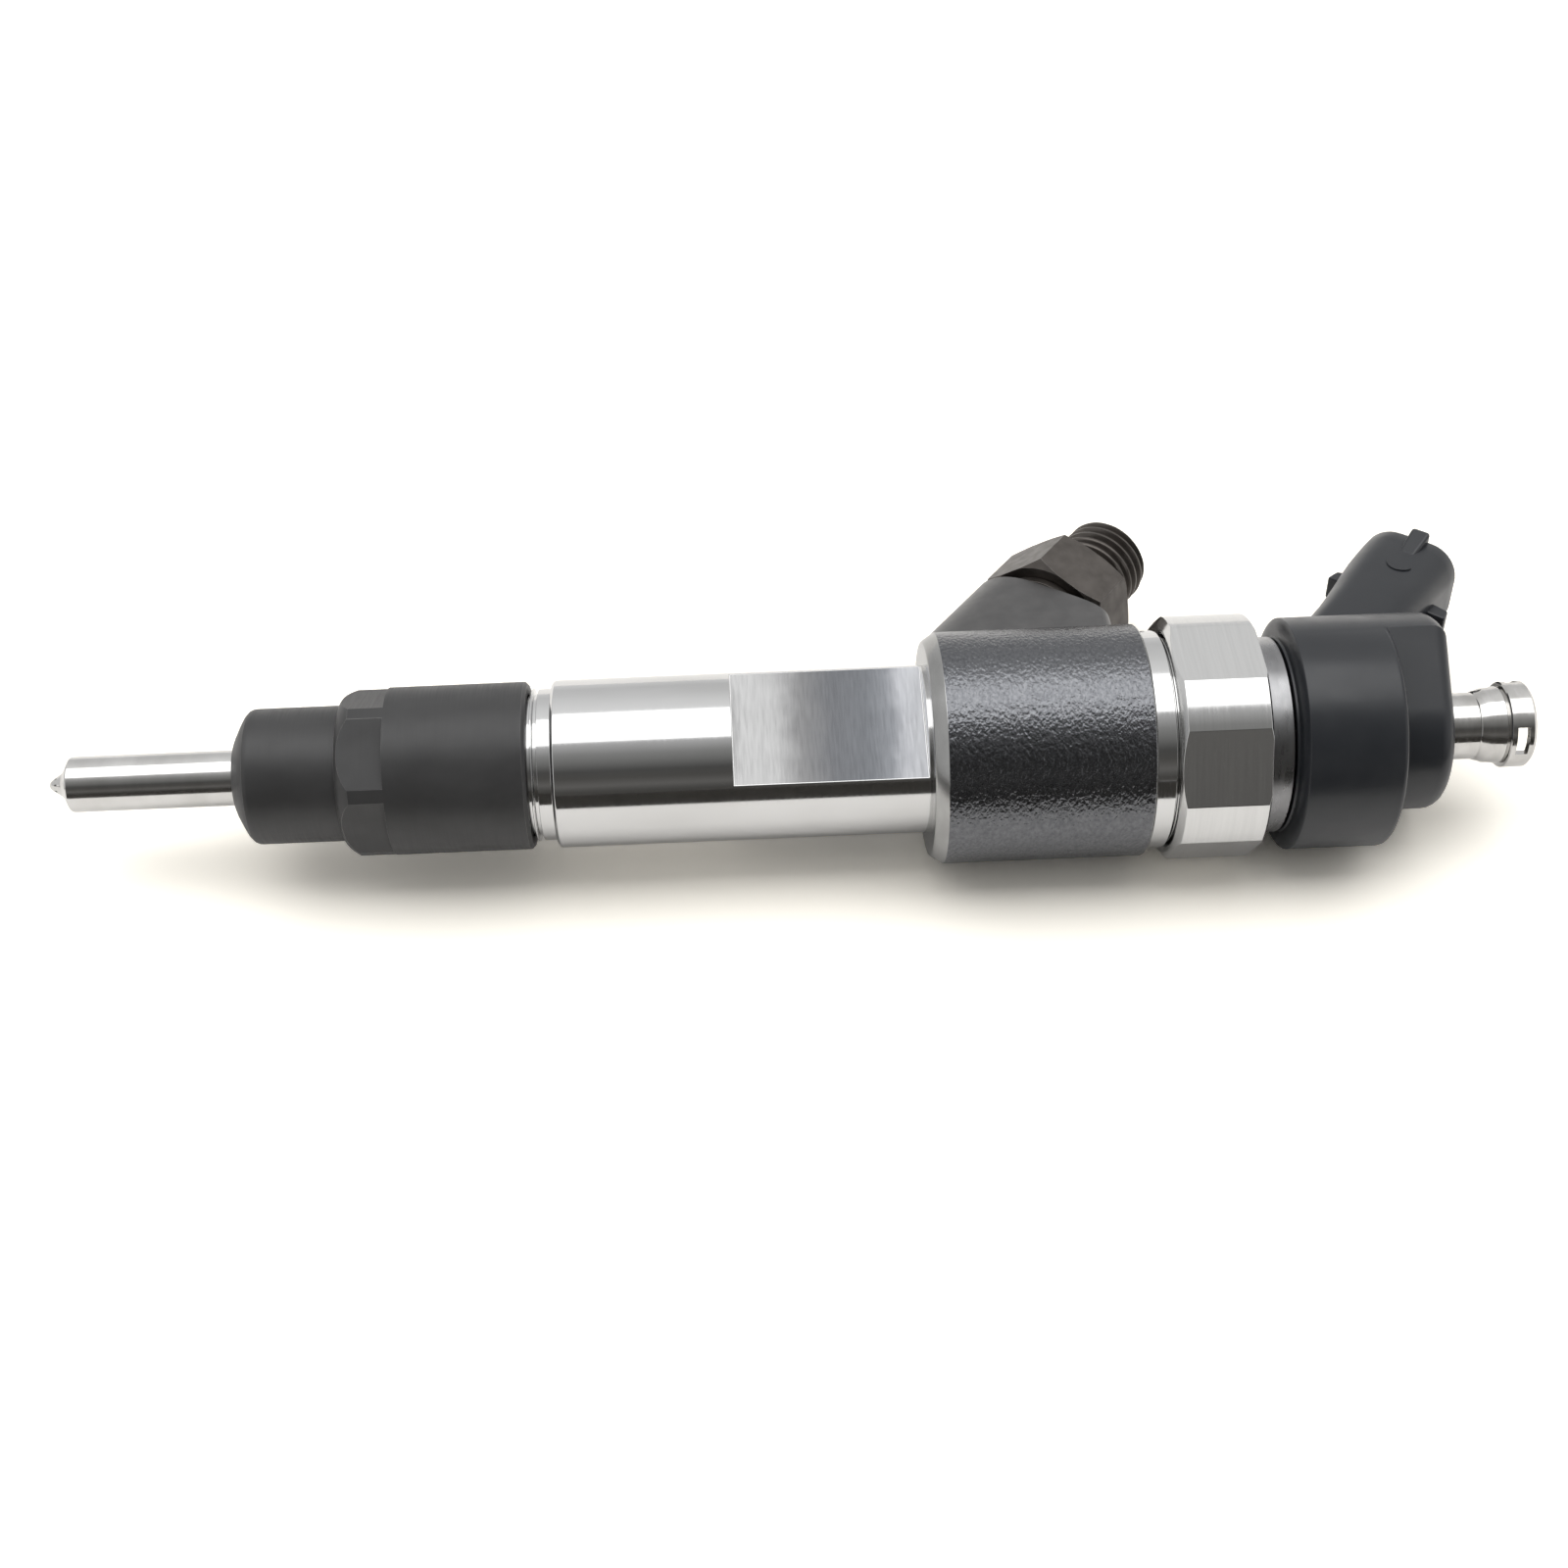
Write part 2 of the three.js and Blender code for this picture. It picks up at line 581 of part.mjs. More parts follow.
// Steel stub with a hollow clip cup on its end.
function returnFitting() {
  const tube = turned([
    [155.0, 2.0], [155.0, RETURN_RADIUS - 0.1], [158.0, RETURN_RADIUS - 0.1], [158.0, 3.2], [160.4, 3.2],
    [160.4, RETURN_RADIUS], [RETURN_STEP, RETURN_RADIUS], [RETURN_STEP, RETURN_BARB_RADIUS],
    [RETURN_CUP_START, RETURN_BARB_RADIUS], [RETURN_CUP_START, RETURN_CUP_RADIUS],
    [LENGTH - 0.5, RETURN_CUP_RADIUS], [LENGTH, RETURN_CUP_RADIUS - 0.4], [LENGTH, 4.4], [180.2, 4.2],
    [180.2, 2.0],
  ], 24)
  let fitting = tube
  for (let i = 0; i < 3; i += 1) {
    const slot = bar(182.3, 183.8, [3, 6.5], 3.6, CUP_SLOTS_FACING + 120 * i)
    fitting = fitting.subtract(slot)
  }
  return fitting
}

// Screwed-in connector with a hexagon, a threaded end and a conical seat for the fuel pipe.
function inletFitting() {
  const outline = [
    [INLET_BORE_FLOOR + GAP, 1.7], [INLET_BORE_FLOOR + GAP, 4.0], [19.8, INLET_THREAD_RADIUS - 0.2],
    [INLET_HEX_START, INLET_THREAD_RADIUS - 0.2], [INLET_HEX_START, 8.9], [INLET_HEX_START + 0.5, 10],
    [INLET_HEX_END - 0.5, 10], [INLET_HEX_END, 8.9], [INLET_HEX_END + 0.3, 5.2],
  ]
  const firstCrest = INLET_HEX_END + 1.6
  for (let height = firstCrest; height < INLET_END - INLET_THREAD_PITCH; height += INLET_THREAD_PITCH) {
    outline.push([height, 5.2], [height + 0.6, INLET_THREAD_RADIUS], [height + 0.9, INLET_THREAD_RADIUS])
  }
  outline.push([INLET_END, 5.2], [INLET_END, 3.6], [INLET_END - 2.6, 1.7])
  const hex = uprightSlab(hexagon(INLET_HEX.acrossFlats, INLET_HEX.corner), INLET_BORE_FLOOR, INLET_END + 1)
  return placed(turnedUpright(outline).intersect(hex), leaningFrame(INLET))
}

// Edge filter: a plug with flats inside the connector.
function inletFilter() {
  return placed(turnedUpright([
    [28.0, 0], [28.0, 1.2], [29.0, 1.55], [42.0, 1.55], [43.0, 1.2], [43.0, 0],
  ], 10), leaningFrame(INLET))
}

function inletSealWasher() {
  return placed(turnedUpright([
    [INLET_SEAT + 0.02, 6.2], [INLET_SEAT + 0.02, 7.6], [INLET_HEX_START - 0.35, 7.6],
    [INLET_HEX_START - 0.35, 6.2],
  ]), leaningFrame(INLET))
}

// ---------------------------------------------------------------- assembly

addPiece('nozzle_body', nozzleBody(), polishedSteel)
addPiece('nozzle_needle', nozzleNeedle(), hardSteel)
addPiece('nozzle_dowel_pin_1', dowel(1, 0), hardSteel)
addPiece('nozzle_dowel_pin_2', dowel(-1, 0), hardSteel)
addPiece('nozzle_retaining_nut', nozzleRetainingNut(), blackOxide)
addPiece('pressure_pin', pressurePin(), hardSteel)
addPiece('needle_spring', spring(NEEDLE_SPRING), springSteel)
addPiece('needle_spring_shim', ring(71.5, 72.7, 2.3, 4.4), hardSteel)
addPiece('injector_body', injectorBody(), groundSteel)
addPiece('valve_piston', valvePiston(), hardSteel)
addPiece('valve_body', valveBody(), hardSteel)
addPiece('valve_body_seal', oRing(118.1, 6.4, 0.65), rubber)
addPiece('valve_clamping_screw', valveClampingScrew(), blackOxide)
addPiece('valve_ball', valveBall(), hardSteel)
addPiece('ball_holder', rod(131.4, 132.6, 1.4), hardSteel)
addPiece('armature_guide', armatureGuide(), softIron)
addPiece('armature_pin', rod(132.8, 141.0, 1.4), hardSteel)
addPiece('armature_spring', spring(ARMATURE_SPRING), springSteel)
addPiece('armature_plate', armaturePlate(), softIron)
addPiece('circlip', circlip(), springSteel)
addPiece('lift_shim', ring(135.2, 139.2, 9.9, 11.2), hardSteel)
addPiece('magnet_core', magnetCore(), softIron)
addPiece('coil_bobbin', coilBobbin(), bobbinPlastic)
addPiece('coil_winding', ring(140.4, 145.0, 6.3, 8.3, 32), copper)
addPiece('valve_spring', spring(VALVE_SPRING), springSteel)
addPiece('valve_spring_shim', rod(149.8, 150.6, 2.1), hardSteel)
addPiece('solenoid_o_ring', oRing(144.2, 10.85, 0.62), rubber)
addPiece('solenoid_sleeve', solenoidSleeve(), forgedSteel)
addPiece('solenoid_nut', solenoidNut(), groundSteel)
addPiece('solenoid_housing', solenoidHousing(), charcoalPlastic)
addPiece('terminal_blade_1', terminalBlade(-1), tinnedBrass)
addPiece('terminal_blade_2', terminalBlade(1), tinnedBrass)
addPiece('return_fitting', returnFitting(), polishedSteel)
addPiece('return_fitting_seal', oRing(159.2, 3.72, 0.33), rubber)
addPiece('inlet_fitting', inletFitting(), brownPhosphate)
addPiece('inlet_filter', inletFilter(), hardSteel)
addPiece('inlet_seal_washer', inletSealWasher(), softWasher)

const part = new THREE.Group()
part.add(injector)
export default part
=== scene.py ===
import math

import bmesh
import bpy
from mathutils import Matrix, Vector


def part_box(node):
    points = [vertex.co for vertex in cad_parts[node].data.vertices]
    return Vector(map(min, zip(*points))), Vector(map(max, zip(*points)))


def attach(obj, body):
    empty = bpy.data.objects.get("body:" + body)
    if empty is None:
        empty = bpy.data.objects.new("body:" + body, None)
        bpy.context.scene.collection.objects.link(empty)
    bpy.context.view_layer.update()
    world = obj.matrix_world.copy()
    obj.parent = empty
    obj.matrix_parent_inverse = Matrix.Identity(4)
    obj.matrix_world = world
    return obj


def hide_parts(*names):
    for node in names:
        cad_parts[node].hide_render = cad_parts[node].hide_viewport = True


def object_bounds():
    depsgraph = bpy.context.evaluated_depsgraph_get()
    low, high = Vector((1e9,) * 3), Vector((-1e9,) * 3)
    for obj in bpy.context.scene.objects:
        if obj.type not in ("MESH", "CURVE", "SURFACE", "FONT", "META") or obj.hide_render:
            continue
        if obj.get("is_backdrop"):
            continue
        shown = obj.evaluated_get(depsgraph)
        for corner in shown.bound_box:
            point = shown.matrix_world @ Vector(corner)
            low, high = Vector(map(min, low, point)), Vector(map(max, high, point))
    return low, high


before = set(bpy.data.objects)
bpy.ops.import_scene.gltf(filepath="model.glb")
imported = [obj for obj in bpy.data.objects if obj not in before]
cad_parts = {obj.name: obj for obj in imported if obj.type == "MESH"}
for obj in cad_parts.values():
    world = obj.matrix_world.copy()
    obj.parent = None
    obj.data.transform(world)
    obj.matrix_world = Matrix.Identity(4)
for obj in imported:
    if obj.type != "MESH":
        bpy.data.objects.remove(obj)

cad_low, cad_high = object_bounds()

# ---------------- nozzle
# The nozzle is one piece of hardened steel: a long ground stem that reaches into the engine's
# combustion chamber, a conical tip with eight spray holes, and a wide top that the nut pulls on.

MM = 0.001
SIDES = 192
SAME_POINT = 1e-7
tip_corner, top_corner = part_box("nozzle_body")
TIP = Vector((tip_corner.x, (tip_corner.y + top_corner.y) / 2, (tip_corner.z + top_corner.z) / 2))


def spot(station, radius, degrees):
    """A point at a distance from the spray tip and from the axis, so many degrees up from the front."""
    turn = math.radians(degrees)
    return TIP + Vector((station, -radius * math.cos(turn), radius * math.sin(turn))) * MM


def turn_between(first, second):
    """The angle between two turns, the short way round."""
    return abs((first - second + 180) % 360 - 180)


def turns_with(marks, sides=SIDES):
    """Even turns round the axis that also pass through the marked ones."""
    step = 360 / sides
    near_mark = 0.4 * step
    even = [step * i for i in range(sides)]
    kept = [t for t in even if all(turn_between(t, m) > near_mark for m in marks)]
    return sorted(kept + [m % 360 for m in marks])


def skin(rows, wrapped):
    """Rows of points, each going once round, joined one to the next."""
    shape = bmesh.new()
    rings = [[shape.verts.new(point) for point in row] for row in rows]
    pairs = list(zip(rings, rings[1:]))
    if wrapped:
        pairs.append((rings[-1], rings[0]))
    for near, far in pairs:
        for i in range(len(near)):
            j = (i + 1) % len(near)
            shape.faces.new((near[i], near[j], far[j], far[i]))
    bmesh.ops.remove_doubles(shape, verts=shape.verts, dist=SAME_POINT)
    bmesh.ops.recalc_face_normals(shape, faces=shape.faces)
    return shape


def at_turn(value, degrees):
    """A measure that is either a number or differs round the axis."""
    return value(degrees) if callable(value) else value


def turned(outline, wrapped=True, turns=None, place=spot):
    """A turned piece from stations and radii, either of which may differ round the axis."""
    turns = turns or turns_with([])
    rows = [[place(at_turn(s, d), at_turn(r, d), d) for d in turns] for s, r in outline]
    return skin(rows, wrapped)


def piece(name, shape, finishes, edge=0.0, crease=28, steps=2, edge_finish=-1):
    """An object from a shape, smooth but for its sharp edges, which are broken by a small bevel.

    The broken edges can take one of the finishes, such as a lighter one for worn edges, which also
    paints a bright highlight line along them.
    """
    for face in shape.faces:
        face.smooth = True
    for line in shape.edges:
        line.smooth = line.calc_face_angle(0) < math.radians(crease)
    mesh = bpy.data.meshes.new(name)
    shape.to_mesh(mesh)
    shape.free()
    for finish in finishes:
        mesh.materials.append(finish)
    made = bpy.data.objects.new(name, mesh)
    bpy.context.scene.collection.objects.link(made)
    if edge:
        bevel = made.modifiers.new("broken edges", "BEVEL")
        bevel.width = edge * MM
        bevel.segments = steps
        bevel.limit_method = "ANGLE"
        bevel.angle_limit = math.radians(crease)
        bevel.harden_normals = True
        bevel.material = edge_finish
    return made


def new_finish(name, metallic, roughness, colour):
    """A material with its shader's own values set."""
    finish = bpy.data.materials.new(name)
    finish.use_nodes = True
    shader = finish.node_tree.nodes["Principled BSDF"]
    shader.inputs["Metallic"].default_value = metallic
    shader.inputs["Roughness"].default_value = roughness
    shader.inputs["Base Color"].default_value = (*colour, 1)
    return finish


def grain(finish, per_mm, detail=2.0):
    """Noise fixed to the piece, with so many features in a millimetre along each axis."""
    nodes, links = finish.node_tree.nodes, finish.node_tree.links
    where = nodes.new("ShaderNodeTexCoord")
    mapping = nodes.new("ShaderNodeMapping")
    mapping.inputs["Scale"].default_value = [n / MM for n in per_mm]
    noise = nodes.new("ShaderNodeTexNoise")
    noise.inputs["Scale"].default_value = 1.0
    noise.inputs["Detail"].default_value = detail
    links.new(where.outputs["Object"], mapping.inputs["Vector"])
    links.new(mapping.outputs["Vector"], noise.inputs["Vector"])
    return noise.outputs["Fac"]


# Most of the noise lies between these two values, which the finishes spread over their own range.
NOISE_LOW, NOISE_HIGH = 0.3, 0.7


def spread(tree, value, low, high, to_low=0.0, to_high=1.0, course="LINEAR"):
    """A value that lies between two others, spread over a range of its own."""
    step = tree.nodes.new("ShaderNodeMapRange")
    step.interpolation_type = course
    ends = {"From Min": low, "From Max": high, "To Min": to_low, "To Max": to_high}
    for label, number in ends.items():
        step.inputs[label].default_value = number
    tree.links.new(value, step.inputs["Value"])
    return step.outputs["Result"]


def vary(finish, per_mm, low, high):
    """Noise as a change of roughness."""
    tree = finish.node_tree
    value = spread(tree, grain(finish, per_mm), NOISE_LOW, NOISE_HIGH, low, high)
    tree.links.new(value, tree.nodes["Principled BSDF"].inputs["Roughness"])


def fill_ramp(ramp, tones):
    """Gives a colour ramp its stops, each a position and a colour, in order."""
    while len(ramp.elements) < len(tones):
        ramp.elements.new(0.5)
    for stop, (position, *colour) in zip(ramp.elements, tones):
        stop.position = position
    for stop, (position, *colour) in zip(ramp.elements, tones):
        stop.color = (*colour, 1)


def tint(finish, per_mm, dark, light, detail=2.0):
    """Noise as a change of colour between two tones."""
    noise = grain(finish, per_mm, detail)
    nodes, links = finish.node_tree.nodes, finish.node_tree.links
    ramp = nodes.new("ShaderNodeValToRGB")
    fill_ramp(ramp.color_ramp, [(NOISE_LOW, *dark), (NOISE_HIGH, *light)])
    links.new(noise, ramp.inputs["Fac"])
    links.new(ramp.outputs["Color"], nodes["Principled BSDF"].inputs["Base Color"])


def relief(finish, per_mm, depth_mm, detail=2.0):
    """Noise as a fine unevenness of the surface."""
    noise = grain(finish, per_mm, detail)
    nodes, links = finish.node_tree.nodes, finish.node_tree.links
    bump = nodes.new("ShaderNodeBump")
    bump.inputs["Strength"].default_value = 1.0
    bump.inputs["Distance"].default_value = depth_mm * MM
    links.new(noise, bump.inputs["Height"])
    links.new(bump.outputs["Normal"], nodes["Principled BSDF"].inputs["Normal"])


STEM_STEEL = new_finish("ground_stem_steel", 1.0, 0.12, (0.66, 0.655, 0.64))
tint(STEM_STEEL, (0.25, 0.12, 0.12), (0.60, 0.595, 0.58), (0.70, 0.695, 0.685))
vary(STEM_STEEL, (6.0, 0.05, 0.05), 0.08, 0.17)
relief(STEM_STEEL, (9.0, 0.05, 0.05), 0.0006)

NOZZLE_OUTLINE = [
    (0, 0), (0.04, 0.3), (0.16, 0.5), (0.4, 0.72), (1.75, 1.58), (1.8, 1.75), (2.0, 1.95),
    (2.75, 3.35), (2.95, 3.48), (3.2, 3.5), (26.2, 3.5), (29.0, 7.15), (46.0, 7.15), (46.0, 2.2),
    (35.0, 2.2), (34.0, 3.1), (31.0, 3.1), (30.0, 2.0), (5.4, 2.0), (3.0, 0.5), (1.6, 0),
]
nozzle = piece("nozzle", turned(NOZZLE_OUTLINE, wrapped=False), [STEM_STEEL], edge=0.08)


def new_tree(name, sizes):
    """A geometry tree with named sizes, and its two end nodes."""
    tree = bpy.data.node_groups.new(name, "GeometryNodeTree")
    for label, kind in sizes:
        tree.interface.new_socket(label, in_out="INPUT", socket_type="NodeSocket" + kind)
    tree.interface.new_socket("Geometry", in_out="OUTPUT", socket_type="NodeSocketGeometry")
    return tree, tree.nodes.new("NodeGroupInput"), tree.nodes.new("NodeGroupOutput")


def end_tree(tree, start, end, shape):
    """The last steps of every tree: real meshes, smooth, in their material."""
    smooth = tree.nodes.new("GeometryNodeSetShadeSmooth")
    real = tree.nodes.new("GeometryNodeRealizeInstances")
    dress = tree.nodes.new("GeometryNodeSetMaterial")
    tree.links.new(shape, smooth.inputs["Geometry"])
    tree.links.new(smooth.outputs["Geometry"], real.inputs["Geometry"])
    tree.links.new(real.outputs["Geometry"], dress.inputs["Geometry"])
    tree.links.new(start.outputs["Material"], dress.inputs["Material"])
    tree.links.new(dress.outputs["Geometry"], end.inputs["Geometry"])


def grow(name, tree, values):
    """The plain mesh object that a tree makes with these sizes."""
    host = bpy.data.objects.new(name + "_host", bpy.data.meshes.new(name + "_host"))
    bpy.context.scene.collection.objects.link(host)
    modifier = host.modifiers.new("grow", "NODES")
    modifier.node_group = tree
    for item in tree.interface.items_tree:
        if item.in_out == "INPUT":
            modifier[item.identifier] = values[item.name]
    ready = host.evaluated_get(bpy.context.evaluated_depsgraph_get())
    mesh = bpy.data.meshes.new_from_object(ready)
    host.modifiers.remove(modifier)
    bpy.data.objects.remove(host)
    mesh.name = name
    made = bpy.data.objects.new(name, mesh)
    bpy.context.scene.collection.objects.link(made)
    return made


def carve(made, cutter):
    """Cuts one object out of another for good, then drops the cutter."""
    cut = made.modifiers.new("cut", "BOOLEAN")
    cut.operation = "DIFFERENCE"
    cut.solver = "EXACT"
    cut.object = cutter
    while made.modifiers[0] != cut:
        made.modifiers.move(made.modifiers.find(cut.name), 0)
    others = [m for m in made.modifiers if m != cut]
    for other in others:
        other.show_viewport = False
    ready = made.evaluated_get(bpy.context.evaluated_depsgraph_get())
    mesh = bpy.data.meshes.new_from_object(ready)
    made.modifiers.remove(cut)
    old = made.data
    made.data = mesh
    bpy.data.meshes.remove(old)
    mesh.name = made.name
    for other in others:
        other.show_viewport = True
    bpy.data.objects.remove(cutter)


def stand_in_ring(tree, start, end, count, cutter, first_turn=None):
    """Stands copies of a cutter round the part's axis, each facing outwards."""
    link = tree.links.new
    ring_of_points = tree.nodes.new("GeometryNodeMeshCircle")
    lie = tree.nodes.new("GeometryNodeInstanceOnPoints")
    outwards = tree.nodes.new("GeometryNodeInputPosition")
    aim = tree.nodes.new("FunctionNodeAlignRotationToVector")
    aim.axis = "X"
    stand = tree.nodes.new("GeometryNodeTransform")
    stand.inputs["Rotation"].default_value = (0, math.pi / 2, 0)
    points = ring_of_points.outputs["Mesh"]
    if first_turn:
        spin = tree.nodes.new("GeometryNodeTransform")
        link(points, spin.inputs["Geometry"])
        link(start.outputs[first_turn], spin.inputs["Rotation"])
        points = spin.outputs["Geometry"]
    link(start.outputs[count], ring_of_points.inputs["Vertices"])
    link(start.outputs["Circle Radius"], ring_of_points.inputs["Radius"])
    link(points, lie.inputs["Points"])
    link(cutter, lie.inputs["Instance"])
    link(outwards.outputs["Position"], aim.inputs["Vector"])
    link(aim.outputs["Rotation"], lie.inputs["Rotation"])
    link(lie.outputs["Instances"], stand.inputs["Geometry"])
    link(start.outputs["Middle"], stand.inputs["Translation"])
    end_tree(tree, start, end, stand.outputs["Geometry"])


# Eight fine drills on a circle, each square to the tip's cone.
spray_tree, start, end = new_tree("spray_drills", [
    ("Holes", "Int"), ("Circle Radius", "Float"), ("Drill Radius", "Float"), ("Drill Length", "Float"),
    ("Middle", "Vector"), ("Slope", "Vector"), ("Material", "Material"),
])
drill = spray_tree.nodes.new("GeometryNodeMeshCylinder")
drill.inputs["Vertices"].default_value = 16
tilt = spray_tree.nodes.new("GeometryNodeTransform")
spray_tree.links.new(start.outputs["Drill Radius"], drill.inputs["Radius"])
spray_tree.links.new(start.outputs["Drill Length"], drill.inputs["Depth"])
spray_tree.links.new(drill.outputs["Mesh"], tilt.inputs["Geometry"])
spray_tree.links.new(start.outputs["Slope"], tilt.inputs["Rotation"])
stand_in_ring(spray_tree, start, end, "Holes", tilt.outputs["Geometry"])
SPRAY_STATION, SPRAY_SLOPE = 1.0, 57
drills = grow("spray_drills", spray_tree, {
    "Holes": 8, "Circle Radius": 1.1 * MM, "Drill Radius": 0.11 * MM, "Drill Length": 0.9 * MM,
    "Middle": spot(SPRAY_STATION, 0, 0), "Slope": (0, math.radians(SPRAY_SLOPE), 0),
    "Material": STEM_STEEL,
})
carve(nozzle, drills)
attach(nozzle, "housing")
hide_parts("nozzle_body")

# ---------------- nozzle retaining nut
# A turned steel nut, blackened in a hot salt bath, that screws on the body's front thread and
# clamps the nozzle. Six short wrench flats are milled just behind its 45 degree shoulder.

BLACK_OXIDE = new_finish("black_oxide_nut", 0.0, 0.46, (0.034, 0.0338, 0.0345))
tint(BLACK_OXIDE, (0.12, 0.2, 0.2), (0.028, 0.0278, 0.0285), (0.04, 0.0398, 0.0405))
vary(BLACK_OXIDE, (5.0, 0.15, 0.15), 0.42, 0.5)
relief(BLACK_OXIDE, (12.0, 4.0, 4.0), 0.002, detail=3.0)

# Worn bare edges, painted lighter still so that the broken edges show as bright highlight lines.
WORN_EDGE_HIGHLIGHT = new_finish("worn_edge_painted_highlight", 1.0, 0.35, (0.2, 0.195, 0.19))
tint(WORN_EDGE_HIGHLIGHT, (0.5, 0.5, 0.5), (0.12, 0.118, 0.116), (0.28, 0.275, 0.27))

NUT_HEX_WAY = 58.9
NUT_FLAT = 9.5
NUT_RADIUS = 10.5
HEX_TURNS = [60 * i for i in range(6)]


def milled(radius, distance, ways):
    """The radius left round the axis where flats at a distance face the given ways."""
    def left(degrees):
        leans = [math.cos(math.radians(degrees - way)) for way in ways]
        return min([radius] + [distance / lean for lean in leans if lean > 0])
    return left


def flat_marks(radius, distance, ways):
    """The turns at which flats meet the round."""
    half = math.degrees(math.acos(distance / radius))
    return [way + side * half for way in ways for side in (-1, 1)]


nut_ways = [NUT_HEX_WAY + turn for turn in HEX_TURNS]
nut_round = milled(NUT_RADIUS, NUT_FLAT, nut_ways)
SHOULDER_FOOT, SHOULDER_INNER = 37.2, 8.9
SHOULDER_RUN, SHOULDER_RISE, SHOULDER_POWER = 1.7, 1.6, 1.6


def shoulder_row(radius):
    """A row of the convex shoulder, no wider than a radius or than the flats leave."""
    def reach(degrees):
        return min(radius, nut_round(degrees))

    def station(degrees):
        climbed = (reach(degrees) - SHOULDER_INNER) / SHOULDER_RISE
        return SHOULDER_FOOT + SHOULDER_RUN * climbed ** SHOULDER_POWER
    return station, reach


NUT_OUTLINE = [
    (23.8, 3.9), (23.8, 4.9), (24.1, 5.6), (24.9, 7.1), (25.35, 7.85), (25.8, 8.3), (26.2, 8.47),
    (26.5, 8.5), (37.1, 8.5), (SHOULDER_FOOT, SHOULDER_INNER),
    *[shoulder_row(radius) for radius in (9.2, 9.6, 10.0, 10.3, NUT_RADIUS)],
    (43.2, nut_round), (43.2, NUT_RADIUS), (60.1, NUT_RADIUS), (60.5, 10.1), (60.5, 8.9),
    (45.6, 8.9), (44.2, 7.5), (29.2, 7.5), (26.6, 4.1), (25.4, 3.9),
]
nut_turns = turns_with(flat_marks(NUT_RADIUS, NUT_FLAT, nut_ways))
# The nut's broken edges take the worn edge finish, which paints their highlight lines.
nozzle_nut = piece("nozzle_nut", turned(NUT_OUTLINE, turns=nut_turns), [BLACK_OXIDE, WORN_EDGE_HIGHLIGHT],
                   edge=0.13, crease=20, edge_finish=1)
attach(nozzle_nut, "housing")
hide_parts("nozzle_retaining_nut")

# ---------------- barrel
# The front of the injector body: a slim ground and polished barrel, bored for the needle's
# spring and the long piston, with a neck behind the nut and two flats for the clamp fork.

POLISHED_STEEL = new_finish("polished_barrel_steel", 1.0, 0.07, (0.66, 0.66, 0.655))
tint(POLISHED_STEEL, (0.06, 0.15, 0.15), (0.63, 0.63, 0.625), (0.69, 0.69, 0.69))
vary(POLISHED_STEEL, (3.0, 0.05, 0.05), 0.075, 0.125)
relief(POLISHED_STEEL, (7.0, 0.04, 0.04), 0.00025)

# The flats are rolled dull. Along each flat their colour is a painted reflection, light at the two ends
# and dark in the middle.
FLATS_START, FLATS_END = 85.6, 109.3
WAVER = 3
CLAMP_FLAT_STEEL = new_finish("milled_clamp_flat", 1.0, 0.4, (0.1, 0.1, 0.1))
vary(CLAMP_FLAT_STEEL, (4.0, 0.3, 0.3), 0.34, 0.46)
relief(CLAMP_FLAT_STEEL, (6.0, 0.3, 0.3), 0.0008)
nodes, link = CLAMP_FLAT_STEEL.node_tree.nodes, CLAMP_FLAT_STEEL.node_tree.links.new
where = nodes.new("ShaderNodeTexCoord")
parts = nodes.new("ShaderNodeSeparateXYZ")
waver = nodes.new("ShaderNodeMath")
waver.operation = "MULTIPLY_ADD"
waver.inputs[1].default_value = WAVER * MM
painted_reflection_ramp = nodes.new("ShaderNodeValToRGB")
link(where.outputs["Object"], parts.inputs["Vector"])
link(grain(CLAMP_FLAT_STEEL, (0.25, 0.25, 0.25)), waver.inputs[0])
link(parts.outputs["X"], waver.inputs[2])
flat_low, flat_high = [TIP.x + (end + WAVER / 2) * MM for end in (FLATS_START, FLATS_END)]
along_flat = spread(CLAMP_FLAT_STEEL.node_tree, waver.outputs["Value"], flat_low, flat_high)
link(along_flat, painted_reflection_ramp.inputs["Fac"])
link(painted_reflection_ramp.outputs["Color"], nodes["Principled BSDF"].inputs["Base Color"])
# Painted reflection along the flats: light tones at both ends, dark in the middle.
PAINTED_REFLECTION_TONES = [
    (0.0, 0.33, 0.33, 0.33), (0.22, 0.29, 0.29, 0.29), (0.36, 0.15, 0.15, 0.152),
    (0.52, 0.102, 0.105, 0.112), (0.7, 0.11, 0.115, 0.124), (0.82, 0.16, 0.166, 0.178),
    (0.9, 0.29, 0.295, 0.31), (1.0, 0.34, 0.345, 0.36),
]
fill_ramp(painted_reflection_ramp.color_ramp, PAINTED_REFLECTION_TONES)

BARREL_RADIUS = 10.5
CLAMP_WAYS = [74.4, 254.4]
CLAMP_FLAT = 6.95
FLAT_SLACK, ROUND_SLACK = 0.1, 0.02
barrel_round = milled(BARREL_RADIUS, CLAMP_FLAT, CLAMP_WAYS)
BARREL_OUTLINE = [
    (46.3, 4.6), (46.3, 8.7), (61.0, 8.7), (61.0, 9.6), (61.25, 9.6), (61.3, 8.8), (61.8, 8.8),
    (61.8, 9.5), (63.5, 9.5), (63.5, 10.1), (63.9, BARREL_RADIUS),
    (FLATS_START, BARREL_RADIUS), (FLATS_START, barrel_round),
    (FLATS_END, barrel_round), (FLATS_END, BARREL_RADIUS),
    (110.5, BARREL_RADIUS), (110.5, 2.6), (73.0, 2.6), (73.0, 4.6),
]
barrel_turns = turns_with(flat_marks(BARREL_RADIUS, CLAMP_FLAT, CLAMP_WAYS))
barrel_shape = turned(BARREL_OUTLINE, turns=barrel_turns)
